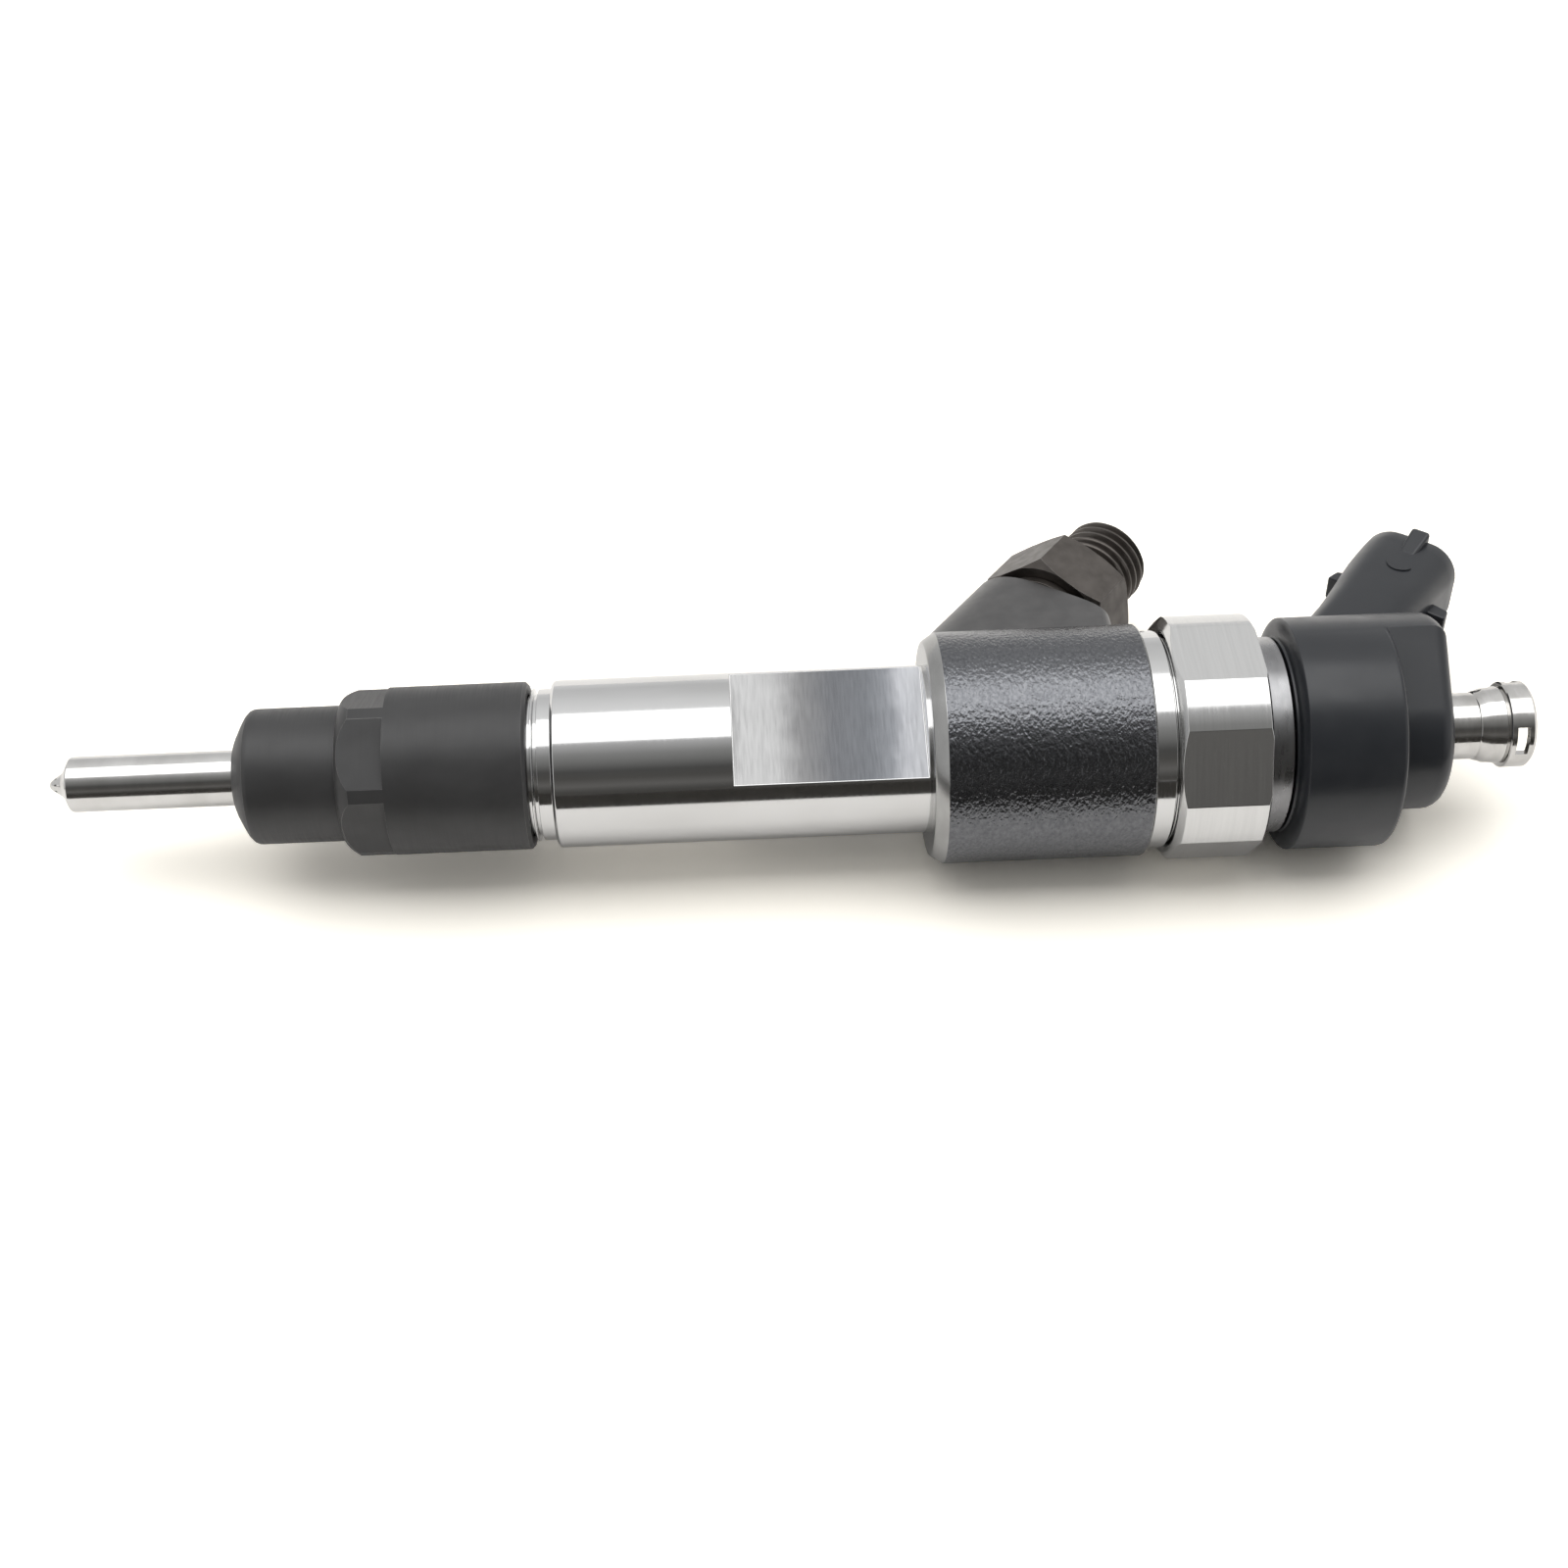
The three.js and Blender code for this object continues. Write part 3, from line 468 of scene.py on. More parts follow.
for face in barrel_shape.faces:
    middle = face.calc_center_median()
    off_axis = math.hypot(middle.y - TIP.y, middle.z - TIP.z) / MM
    station = (middle.x - TIP.x) / MM
    on_flat = CLAMP_FLAT - FLAT_SLACK < off_axis < BARREL_RADIUS - ROUND_SLACK
    if FLATS_START < station < FLATS_END and on_flat:
        face.material_index = 1
barrel = piece("barrel", barrel_shape, [POLISHED_STEEL, CLAMP_FLAT_STEEL], edge=0.16, edge_finish=0)
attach(barrel, "housing")
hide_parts("injector_body")

# ---------------- forged head
# The thick head of the same body, left as it came from the forge and blasted clean, so that its
# skin is gritty; its two ends are turned bright where the barrel and the solenoid meet it.

FORGED_STEEL = new_finish("blasted_forging", 1.0, 0.22, (0.145, 0.149, 0.16))
tint(FORGED_STEEL, (2.8, 1.8, 1.8), (0.118, 0.121, 0.13), (0.178, 0.182, 0.192))
vary(FORGED_STEEL, (2.5, 2.0, 2.0), 0.18, 0.27)
relief(FORGED_STEEL, (2.7, 1.7, 1.7), 0.15)

BOSS_STEEL = new_finish("smooth_forging", 1.0, 0.36, (0.15, 0.148, 0.147))
tint(BOSS_STEEL, (0.4, 0.4, 0.4), (0.135, 0.134, 0.134), (0.162, 0.16, 0.159), detail=3.0)
vary(BOSS_STEEL, (1.0, 1.0, 1.0), 0.33, 0.4)
relief(BOSS_STEEL, (3.0, 3.0, 3.0), 0.006, detail=3.0)

TURNED_STEEL = new_finish("turned_end_steel", 1.0, 0.22, (0.36, 0.36, 0.355))
tint(TURNED_STEEL, (0.4, 0.2, 0.2), (0.32, 0.32, 0.315), (0.41, 0.41, 0.405))
relief(TURNED_STEEL, (8.0, 0.2, 0.2), 0.0008)

HEAD_RADIUS = 14.5
HEAD_SKIN = (111.3, 135.95)
HEAD_OUTLINE = [
    (109.7, 9.0), (109.7, 13.35), (109.95, 13.6), (111.0, 14.3), (111.3, HEAD_RADIUS),
    (135.95, HEAD_RADIUS), (136.2, 14.25), (136.2, 11.6), (131.0, 11.6), (131.0, 9.2),
    (124.0, 9.2), (124.0, 7.2), (112.0, 7.2), (112.0, 9.0),
]
head_shape = turned(HEAD_OUTLINE)
for face in head_shape.faces:
    station = (face.calc_center_median().x - TIP.x) / MM
    face.material_index = 0 if HEAD_SKIN[0] < station < HEAD_SKIN[1] else 1
head = piece("forged_head", head_shape, [FORGED_STEEL, TURNED_STEEL], edge=0.1, crease=18)
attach(head, "housing")
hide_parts("injector_body")

# The collar behind the head is turned and polished; past it the body carries the solenoid's thread.
COLLAR_OUTLINE = [
    (136.2, 11.6), (136.2, 13.6), (138.6, 13.6), (138.6, 12.9), (146.5, 12.9), (146.5, 11.6),
]
collar = piece("body_collar", turned(COLLAR_OUTLINE), [POLISHED_STEEL], edge=0.12)
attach(collar, "housing")
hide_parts("injector_body")

# ---------------- inlet boss
# The forging rises into a boss that leans back with the fuel inlet; its top is spot-faced square
# to the inlet's axis, and its rear side is faced off with the head.


def leaning(station, lean, way):
    """Places points given along a pipe that leaves the axis at a station and leans back."""
    turn, slope = math.radians(way), math.radians(lean)
    along, outward = Vector((1, 0, 0)), Vector((0, -math.cos(turn), math.sin(turn)))
    up = along * math.cos(slope) + outward * math.sin(slope)
    side = along.cross(outward)
    back = side.cross(up)
    foot = TIP + along * station * MM

    def place(x, y, z):
        return foot + (back * x + side * y + up * z) * MM
    return place


INLET_STATION, INLET_LEAN = 109.3, 53.4
BRANCH_WAY = 186.5
inlet_place = leaning(INLET_STATION, INLET_LEAN, BRANCH_WAY)
BOSS_WIDTH = 7.35
BOSS_ROUNDED, BOSS_SQUARED = (9.9, 2.4), (10.4, 7.0)
BOSS_TOP = 30.2
BOSS_DEPTH, BOSS_INWARDS = 24, 20
BOSS_SIDES = 96
OUT_OF_AXIS = Vector((0, -math.cos(math.radians(BRANCH_WAY)), math.sin(math.radians(BRANCH_WAY))))
BOSS_FRONT, BOSS_REAR = 111.3, 136.2
boss_shape = bmesh.new()
for i in range(BOSS_SIDES):
    turn = 2 * math.pi * i / BOSS_SIDES
    reach, power = BOSS_ROUNDED if math.cos(turn) > 0 else BOSS_SQUARED
    x = math.copysign(reach * abs(math.cos(turn)) ** (2 / power), math.cos(turn))
    y = math.copysign(BOSS_WIDTH * abs(math.sin(turn)) ** (2 / power), math.sin(turn))
    rim = inlet_place(x, y, BOSS_TOP)
    boss_shape.verts.new(rim)
    boss_shape.verts.new(inlet_place(x, y, BOSS_TOP - BOSS_DEPTH))
    boss_shape.verts.new(rim - OUT_OF_AXIS * BOSS_INWARDS * MM)
bmesh.ops.convex_hull(boss_shape, input=boss_shape.verts)
loose = [v for v in boss_shape.verts if not v.link_faces]
bmesh.ops.delete(boss_shape, geom=loose, context="VERTS")
for station, way in ((BOSS_FRONT, -1), (BOSS_REAR, 1)):
    everything = boss_shape.verts[:] + boss_shape.edges[:] + boss_shape.faces[:]
    cut_at = spot(station, 0, 0)
    bmesh.ops.bisect_plane(
        boss_shape, geom=everything, plane_co=cut_at, plane_no=(way, 0, 0), clear_outer=True)
    rim_edges = [e for e in boss_shape.edges if e.is_boundary]
    bmesh.ops.contextual_create(boss_shape, geom=rim_edges)
bmesh.ops.dissolve_limit(
    boss_shape, angle_limit=math.radians(0.2), verts=boss_shape.verts, edges=boss_shape.edges)
bmesh.ops.recalc_face_normals(boss_shape, faces=boss_shape.faces)
# The boss's broken edges take the lighter turned steel, which paints a bright highlight line round its
# rim.
boss = piece("inlet_boss", boss_shape, [BOSS_STEEL, TURNED_STEEL], edge=0.25, crease=35, edge_finish=1)
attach(boss, "housing")
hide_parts("injector_body")

# ---------------- solenoid sleeve
# A pressed steel sleeve that the union nut clamps against the end of the body; the coil sits
# inside it and the plastic cap is moulded on its open end.

SLEEVE_STEEL = new_finish("dull_sleeve_steel", 1.0, 0.3, (0.3, 0.3, 0.305))
tint(SLEEVE_STEEL, (0.2, 0.14, 0.14), (0.22, 0.22, 0.225), (0.4, 0.4, 0.405), detail=3.0)
vary(SLEEVE_STEEL, (2.0, 0.4, 0.4), 0.24, 0.36)
SLEEVE_OUTLINE = [
    (146.8, 11.1), (146.8, 12.7), (148.0, 12.7), (148.0, 12.2), (153.0, 12.2), (153.0, 11.1),
]
sleeve = piece("solenoid_sleeve_tube", turned(SLEEVE_OUTLINE), [SLEEVE_STEEL], edge=0.15)
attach(sleeve, "housing")
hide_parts("solenoid_sleeve")

# ---------------- solenoid nut
# A big steel union nut, bright and fine-turned, with six wrench flats milled over its length;
# its chamfers cut the flats' ends into shallow arcs.

BRIGHT_NUT = new_finish("bright_nut_steel", 1.0, 0.16, (0.66, 0.66, 0.655))
tint(BRIGHT_NUT, (3.0, 0.08, 0.08), (0.64, 0.64, 0.635), (0.68, 0.68, 0.675))
vary(BRIGHT_NUT, (5.0, 0.06, 0.06), 0.09, 0.17)
relief(BRIGHT_NUT, (7.0, 0.1, 0.1), 0.0004)
UNION_FLAT, UNION_RADIUS = 14.5, 15.25
UNION_FRONT, UNION_REAR = 138.9, 149.8
FRONT_EDGE, FRONT_SLOPE = 14.25, 0.75
REAR_EDGE, REAR_SLOPE = 14.9, 0.8
union_ways = [90 + turn for turn in HEX_TURNS]
union_round = milled(UNION_RADIUS, UNION_FLAT, union_ways)
UNION_OUTLINE = [
    (UNION_FRONT, 13.1), (UNION_FRONT, FRONT_EDGE),
    (lambda d: UNION_FRONT + (union_round(d) - FRONT_EDGE) * FRONT_SLOPE, union_round),
    (lambda d: UNION_REAR - max(0, union_round(d) - REAR_EDGE) * REAR_SLOPE, union_round),
    (UNION_REAR, lambda d: min(REAR_EDGE, union_round(d))),
    (UNION_REAR, 12.5), (148.3, 12.5), (148.3, 13.1),
]
union_turns = turns_with(flat_marks(UNION_RADIUS, UNION_FLAT, union_ways))
union_shape = turned(UNION_OUTLINE, turns=union_turns)
union_nut = piece("union_nut", union_shape, [BRIGHT_NUT], edge=0.09, crease=14)
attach(union_nut, "housing")
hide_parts("solenoid_nut")

# ---------------- moulded cap
# Glass-filled black plastic, moulded over the coil's sleeve: a round cap, stepped down behind,
# that carries the electrical plug's hood and is bored for the return fitting.

CAP_PLASTIC = new_finish("moulded_plastic", 0.0, 0.32, (0.016, 0.018, 0.022))
tint(CAP_PLASTIC, (0.12, 0.12, 0.12), (0.014, 0.016, 0.02), (0.019, 0.021, 0.025), detail=3.0)
vary(CAP_PLASTIC, (0.3, 0.3, 0.3), 0.28, 0.36)
relief(CAP_PLASTIC, (6.0, 6.0, 6.0), 0.002, detail=3.0)

CAP_RADIUS = 14.5
STEP_RADIUS = 10.1
STEP_ARC_END = 127.9
STEP_MEETS_CAP = 82.0


def ray_at(degrees):
    """The direction at a turn from the plug's side."""
    return Vector((math.cos(math.radians(degrees)), math.sin(math.radians(degrees))))


def step_radius(degrees):
    """The cap's stepped end: round below, widening to the full cap on the plug's side."""
    off = turn_between(degrees, BRANCH_WAY)
    if off >= STEP_ARC_END:
        return STEP_RADIUS
    if off <= STEP_MEETS_CAP:
        return CAP_RADIUS
    first = ray_at(STEP_ARC_END) * STEP_RADIUS
    ray, run = ray_at(off), ray_at(STEP_MEETS_CAP) * CAP_RADIUS - first
    return (first.x * run.y - first.y * run.x) / (ray.x * run.y - ray.y * run.x)


BORE_RADIUS = 4.25
CAP_FRONT, CAP_SHOULDER, CAP_END = 153.3, 165.4, 173.4
SHOULDER_ROUNDING, END_ROUNDING = 0.7, 2.1


def rounded(rounding, degrees):
    """How far a rounded edge has run back, and how far it has dropped, part of the way over."""
    turn = math.radians(degrees)
    return rounding * math.sin(turn), rounding * (1 - math.cos(turn))


cap_outline = [
    (CAP_FRONT, BORE_RADIUS), (CAP_FRONT, 12.15), (153.6, 12.2), (153.65, 12.7), (153.78, 13.3),
    (153.95, 13.85), (154.15, 14.3), (154.3, CAP_RADIUS), (CAP_SHOULDER, CAP_RADIUS),
]
for over in (30, 60, 90):
    run_back, drop = rounded(SHOULDER_ROUNDING, over)
    cap_outline.append((
        CAP_SHOULDER + run_back, lambda d, drop=drop: max(CAP_RADIUS - drop, step_radius(d))))
cap_outline.append((CAP_SHOULDER + SHOULDER_ROUNDING, step_radius))
for over in range(0, 91, 15):
    run_back, drop = rounded(END_ROUNDING, over)
    cap_outline.append((CAP_END - END_ROUNDING + run_back, lambda d, drop=drop: step_radius(d) - drop))
cap_outline.append((CAP_END, BORE_RADIUS))
STEP_TURNS = (STEP_ARC_END, STEP_MEETS_CAP)
cap_turns = turns_with([BRANCH_WAY + side * turn for side in (-1, 1) for turn in STEP_TURNS])
cap = piece("moulded_cap", turned(cap_outline, turns=cap_turns), [CAP_PLASTIC], edge=0.1, crease=35)

# The plug's hood is moulded with the cap: a rounded oblong socket with a latch ramp on each
# narrow side, a coding rib on its broad side, and a deep well for the two blades.

PLUG_STATION, PLUG_LEAN = 151.6, 50.0
plug_place = leaning(PLUG_STATION, PLUG_LEAN, BRANCH_WAY)
HOOD_WIDTH, HOOD_HEIGHT, HOOD_CORNER = 13.0, 12.0, 4.0
HOOD_FOOT, HOOD_RIM, HOOD_FLOOR, HOOD_WALL = 14.0, 43.2, 29.0, 1.3
LEAST_CORNER, CORNER_STEPS, SIDE_STEPS = 0.3, 12, 8


def oblong(inset, height, bulge=0.35, waist=0.0):
    """A rounded oblong round the plug's axis, drawn in by an inset, its broad sides a little crowned.

    A waist draws in the side that faces the nozzle.
    """
    row = []
    corner = max(HOOD_CORNER - inset, LEAST_CORNER)
    half_x, half_y = HOOD_WIDTH / 2 - inset, HOOD_HEIGHT / 2 - inset
    for quarter in range(4):
        sign_x = 1 if quarter in (0, 3) else -1
        sign_y = 1 if quarter in (0, 1) else -1
        for i in range(CORNER_STEPS + 1):
            turn = math.radians(90 * quarter + 90 * i / CORNER_STEPS)
            x = sign_x * (half_x - corner) + corner * math.cos(turn)
            y = sign_y * (half_y - corner) + corner * math.sin(turn)
            row.append((x, y))
        if quarter % 2 == 0:
            from_x, side_y = row[-1]
            row += [(from_x - 2 * from_x * k / SIDE_STEPS, side_y) for k in range(1, SIDE_STEPS)]
    points = []
    for x, y in row:
        crown = bulge * max(0.0, 1 - (x / half_x) ** 2)
        drawn_in = 1 - waist / half_x if x > 0 else 1
        points.append(plug_place(x * drawn_in, y + math.copysign(crown, y), height))
    return points


HOOD_WAIST = [
    (HOOD_FOOT, 2.1), (20.0, 2.0), (24.0, 1.8), (27.0, 1.5), (30.0, 1.1), (33.0, 0.65), (36.0, 0.28),
    (39.0, 0.07), (41.0, 0.0),
]
hood_rows = [oblong(0.0, height, waist=waist) for height, waist in HOOD_WAIST]
hood_rows += [
    oblong(0.0, HOOD_RIM - 0.45), oblong(0.13, HOOD_RIM - 0.13), oblong(0.45, HOOD_RIM),
    oblong(HOOD_WALL - 0.3, HOOD_RIM, 0.2), oblong(HOOD_WALL, HOOD_RIM - 0.3, 0.1),
    oblong(HOOD_WALL, HOOD_FLOOR, 0.1),
]
hood_rows.append([plug_place(0, 0, HOOD_FLOOR)] * len(hood_rows[0]))
hood_rows.insert(0, [plug_place(0, 0, HOOD_FOOT)] * len(hood_rows[0]))
hood = piece("plug_hood", skin(hood_rows, False), [CAP_PLASTIC], crease=40)


def wedge(corners_low, corners_high):
    """A closed eight-cornered block in the plug's frame."""
    shape = bmesh.new()
    low = [shape.verts.new(plug_place(*c)) for c in corners_low]
    high = [shape.verts.new(plug_place(*c)) for c in corners_high]
    shape.faces.new(low[::-1])
    shape.faces.new(high)
    for i in range(4):
        j = (i + 1) % 4
        shape.faces.new((low[i], low[j], high[j], high[i]))
    bmesh.ops.recalc_face_normals(shape, faces=shape.faces)
    return shape


# A small crescent is left standing on the broad side, where the mould's insert ended.
MARK_X, MARK_Z, MARK_RADIUS, MARK_THICK = -1.0, HOOD_RIM - 6.7, 1.9, 0.4
MARK_FLOOR, MARK_TOP = 5.9, 6.5
MARK_STEPS, MARK_START, MARK_SWEEP, MARK_POINT = 16, 205, 130, 0.03
mark_rows = []
for i in range(MARK_STEPS + 1):
    share = i / MARK_STEPS
    turn = math.radians(MARK_START + MARK_SWEEP * share)
    half = MARK_POINT + MARK_THICK / 2 * math.sin(math.pi * share)
    mark_rows.append([
        plug_place(MARK_X + radius * math.cos(turn), y, MARK_Z + radius * math.sin(turn))
        for radius, y in ((MARK_RADIUS - half, MARK_FLOOR), (MARK_RADIUS + half, MARK_FLOOR),
                          (MARK_RADIUS + half, MARK_TOP), (MARK_RADIUS - half, MARK_TOP))])
mark_shape = skin(mark_rows, False)
bmesh.ops.holes_fill(mark_shape, edges=[e for e in mark_shape.edges if e.is_boundary], sides=4)
bmesh.ops.recalc_face_normals(mark_shape, faces=mark_shape.faces)
mark = piece("hood_mould_mark", mark_shape, [CAP_PLASTIC], edge=0.04)

LATCH_SIDE = HOOD_WIDTH / 2
ROOT_HALF, TIP_HALF = 1.9, 1.7
latches = []
for number, (side, proud) in enumerate(((-1, 2.5), (1, 1.3)), 1):
    root, tip, high = [side * (LATCH_SIDE + out) for out in (-1.5, proud, proud - 0.4)]
    ramp = wedge(*[
        [(root, -ROOT_HALF, at_root), (end, -TIP_HALF, at_end),
         (end, TIP_HALF, at_end), (root, ROOT_HALF, at_root)]
        for end, at_root, at_end in ((tip, 34.2, 34.25), (high, 36.7, 36.2))])
    latches.append(piece(f"plug_latch_{number}", ramp, [CAP_PLASTIC], edge=0.3, crease=20, steps=3))

top_y = HOOD_HEIGHT / 2
rib_sunk, rib_low, rib_high = top_y - 1, top_y + 0.25, top_y + 1.8
rib_shape = wedge(
    [(-1.8, rib_sunk, 38.4), (0.6, rib_sunk, 38.4), (0.5, rib_low, 38.6), (-1.7, rib_low, 38.6)],
    [(-1.95, rib_sunk, HOOD_RIM), (0.75, rib_sunk, HOOD_RIM),
     (0.75, rib_high, HOOD_RIM), (-1.95, rib_high, HOOD_RIM)])
rib = piece("plug_coding_rib", rib_shape, [CAP_PLASTIC], edge=0.45, crease=20)
for moulded in (cap, mark, *latches, rib, hood):
    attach(moulded, "housing")
    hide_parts("solenoid_housing")

# ---------------- plug terminals
# Two stamped brass blades, tinned, pressed through the socket's floor; their tips are tapered so
# that they start easily in the mating contacts.

TINNED_BRASS = new_finish("tinned_brass", 1.0, 0.28, (0.7, 0.64, 0.45))
tint(TINNED_BRASS, (0.8, 0.8, 0.8), (0.66, 0.6, 0.42), (0.74, 0.69, 0.52))
relief(TINNED_BRASS, (1.0, 8.0, 1.0), 0.001)
BLADE_OUTLINE = [(-1.4, 26.0), (1.4, 26.0), (1.4, 35.0), (0.7, 36.0), (-0.7, 36.0), (-1.4, 35.0)]
BLADE_SPACING, BLADE_THICK = 4.8, 0.8
for number, side in enumerate((-1, 1), 1):
    shape = bmesh.new()
    faces = []
    for thick in (-BLADE_THICK / 2, BLADE_THICK / 2):
        corners = [plug_place(side * BLADE_SPACING / 2 + x, thick, z) for x, z in BLADE_OUTLINE]
        faces.append([shape.verts.new(c) for c in corners])
    shape.faces.new(faces[0][::-1])
    shape.faces.new(faces[1])
    for i in range(len(BLADE_OUTLINE)):
        j = (i + 1) % len(BLADE_OUTLINE)
        shape.faces.new((faces[0][i], faces[0][j], faces[1][j], faces[1][i]))
    bmesh.ops.recalc_face_normals(shape, faces=shape.faces)
    blade = piece(f"plug_blade_{number}", shape, [TINNED_BRASS], edge=0.12)
    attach(blade, "housing")
    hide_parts(f"terminal_blade_{number}")

# ---------------- return fitting
# A turned steel stub, moulded into the cap, that takes the leak-off hose's clip in a hollow cup;
# three short slots through the cup's wall hold the clip's claws.

RETURN_OUTLINE = [
    (155.0, 2.0), (155.0, 4.05), (158.0, 4.05), (158.0, 3.2), (160.4, 3.2), (160.4, 4.15),
    (178.1, 4.15), (178.3, 4.3), (178.9, 4.42), (179.3, 4.62), (180.7, 4.72), (180.9, 4.82),
    (181.2, 4.82), (181.3, 4.6), (181.5, 4.6), (181.5, 5.2), (181.66, 5.36),
    (184.3, 5.36), (184.7, 5.0), (184.7, 4.5), (184.5, 4.4), (180.2, 4.2), (180.2, 2.0),
]
RETURN_STEEL = new_finish("turned_return_steel", 1.0, 0.1, (0.62, 0.61, 0.59))
tint(RETURN_STEEL, (0.5, 0.25, 0.25), (0.52, 0.51, 0.49), (0.68, 0.67, 0.655), detail=3.0)
vary(RETURN_STEEL, (4.0, 0.3, 0.3), 0.07, 0.18)
relief(RETURN_STEEL, (1.2, 0.5, 0.5), 0.006)
return_stub = piece("return_stub", turned(RETURN_OUTLINE), [RETURN_STEEL], edge=0.07)

slot_tree, start, end = new_tree("clip_slot_cutters", [
    ("Slots", "Int"), ("Circle Radius", "Float"), ("Slot Size", "Vector"), ("Middle", "Vector"),
    ("First Turn", "Vector"), ("Material", "Material"),
])
block = slot_tree.nodes.new("GeometryNodeMeshCube")
slot_tree.links.new(start.outputs["Slot Size"], block.inputs["Size"])
stand_in_ring(slot_tree, start, end, "Slots", block.outputs["Mesh"], "First Turn")
SLOT_STATION, SLOT_WAY = 183.0, 20.0
cutters = grow("clip_slot_cutters", slot_tree, {
    "Slots": 3, "Circle Radius": 5.0 * MM, "Slot Size": (3.0 * MM, 3.6 * MM, 1.5 * MM),
    "Middle": spot(SLOT_STATION, 0, 0), "First Turn": (0, 0, math.radians(-90 - SLOT_WAY)),
    "Material": RETURN_STEEL,
})
carve(return_stub, cutters)
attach(return_stub, "housing")
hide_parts("return_fitting")

# ---------------- inlet fitting
# A screwed-in connector of phosphated steel: a hexagon with chamfered corners, a coned seat for
# the fuel pipe inside its end, and an outside thread for the pipe's union nut.

PHOSPHATE = new_finish("brown_phosphate", 1.0, 0.36, (0.115, 0.104, 0.095))
tint(PHOSPHATE, (0.5, 0.5, 0.5), (0.097, 0.088, 0.081), (0.132, 0.12, 0.111), detail=4.0)
vary(PHOSPHATE, (0.8, 0.8, 0.8), 0.32, 0.42)
relief(PHOSPHATE, (5.0, 5.0, 5.0), 0.004, detail=3.0)

INLET_FLAT = 8.5
INLET_CORNER = INLET_FLAT / math.cos(math.radians(30))
INLET_HEX_WAY, INLET_SIDES = 51.6, 120
INLET_HEX_WAYS = [INLET_HEX_WAY + turn for turn in HEX_TURNS]
hex_round = milled(INLET_CORNER, INLET_FLAT, INLET_HEX_WAYS)
HEX_LOW, HEX_HIGH = 31.6, 39.75
CHAMFER_START, CHAMFER_SLOPE = 8.6, 0.6


def corner_drop(degrees):
    """How far the chamfer has cut the hexagon's end back."""
    return max(0.0, hex_round(degrees) - CHAMFER_START) * CHAMFER_SLOPE


def chamfered(degrees):
    """The radius left on the hexagon's end face."""
    return min(CHAMFER_START, hex_round(degrees))


def around_inlet(height, radius, degrees):
    """A point so high on the inlet's axis and so far from it."""
    turn = math.radians(degrees)
    return inlet_place(radius * math.cos(turn), radius * math.sin(turn), height)


INLET_OUTLINE = [
    (18.5, 1.7), (18.5, 4.0), (19.8, 5.8), (HEX_LOW, 5.8), (HEX_LOW, chamfered),
    (lambda d: HEX_LOW + corner_drop(d), hex_round), (lambda d: HEX_HIGH - corner_drop(d), hex_round),
    (HEX_HIGH, chamfered), (HEX_HIGH, 6.4), (40.1, 5.2), (50.3, 5.2), (50.6, 4.9), (50.6, 3.75),
    (50.45, 3.6), (48.0, 1.7),
]
inlet_turns = turns_with([way + 30 for way in INLET_HEX_WAYS], INLET_SIDES)
connector_shape = turned(INLET_OUTLINE, turns=inlet_turns, place=around_inlet)
# The hexagon's broken edges take the worn edge finish, which paints their bright highlight lines.
connector = piece("inlet_connector", connector_shape, [PHOSPHATE, WORN_EDGE_HIGHLIGHT],
                  edge=0.12, crease=20, edge_finish=1)
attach(connector, "housing")
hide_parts("inlet_fitting")

# The thread is grown along its helix: each row of the mesh follows the thread's lead.
thread_tree, start, end = new_tree("pipe_thread", [
    ("Root Radius", "Float"), ("Crest Radius", "Float"), ("Inner Radius", "Float"), ("Pitch", "Float"),
    ("Low", "Float"), ("High", "Float"), ("Rows", "Int"), ("Material", "Material"),
])


def reckoner(tree):
    """Arithmetic in one tree, on its sockets and on plain numbers."""
    def step(operation, *terms):
        made = tree.nodes.new("ShaderNodeMath")
        made.operation = operation
        for socket, term in zip(made.inputs, terms):
            if isinstance(term, (int, float)):
                socket.default_value = term
            else:
                tree.links.new(term, socket)
        return made.outputs[0]
    return step


PER_TURN = 97
cloth = thread_tree.nodes.new("GeometryNodeMeshGrid")
cloth.inputs["Vertices X"].default_value = PER_TURN
where = thread_tree.nodes.new("GeometryNodeInputPosition")
parts = thread_tree.nodes.new("ShaderNodeSeparateXYZ")
wrap = thread_tree.nodes.new("GeometryNodeSetPosition")
point = thread_tree.nodes.new("ShaderNodeCombineXYZ")
seam = thread_tree.nodes.new("GeometryNodeMergeByDistance")
seam.inputs["Distance"].default_value = SAME_POINT
link = thread_tree.links.new
link(start.outputs["Rows"], cloth.inputs["Vertices Y"])
link(where.outputs["Position"], parts.inputs["Vector"])
pitch, lowest, highest, root, crest, inner = [start.outputs[label] for label in (
    "Pitch", "Low", "High", "Root Radius", "Crest Radius", "Inner Radius")]
reckon = reckoner(thread_tree)
round_part = reckon("ADD", parts.outputs["X"], 0.5)
rise_part = reckon("ADD", parts.outputs["Y"], 0.5)
angle = reckon("MULTIPLY", round_part, 2 * math.pi)
span = reckon("SUBTRACT", highest, lowest)
travel = reckon("ADD", span, pitch)
climbed = reckon("MULTIPLY", rise_part, travel)
behind = reckon("SUBTRACT", round_part, 1.0)
lead = reckon("MULTIPLY", behind, pitch)
height = reckon("ADD", reckon("ADD", climbed, lead), lowest)
height = reckon("MAXIMUM", height, lowest)
height = reckon("MINIMUM", height, highest)
phase = reckon("DIVIDE", climbed, pitch)
wave = reckon("COSINE", reckon("MULTIPLY", phase, 2 * math.pi))
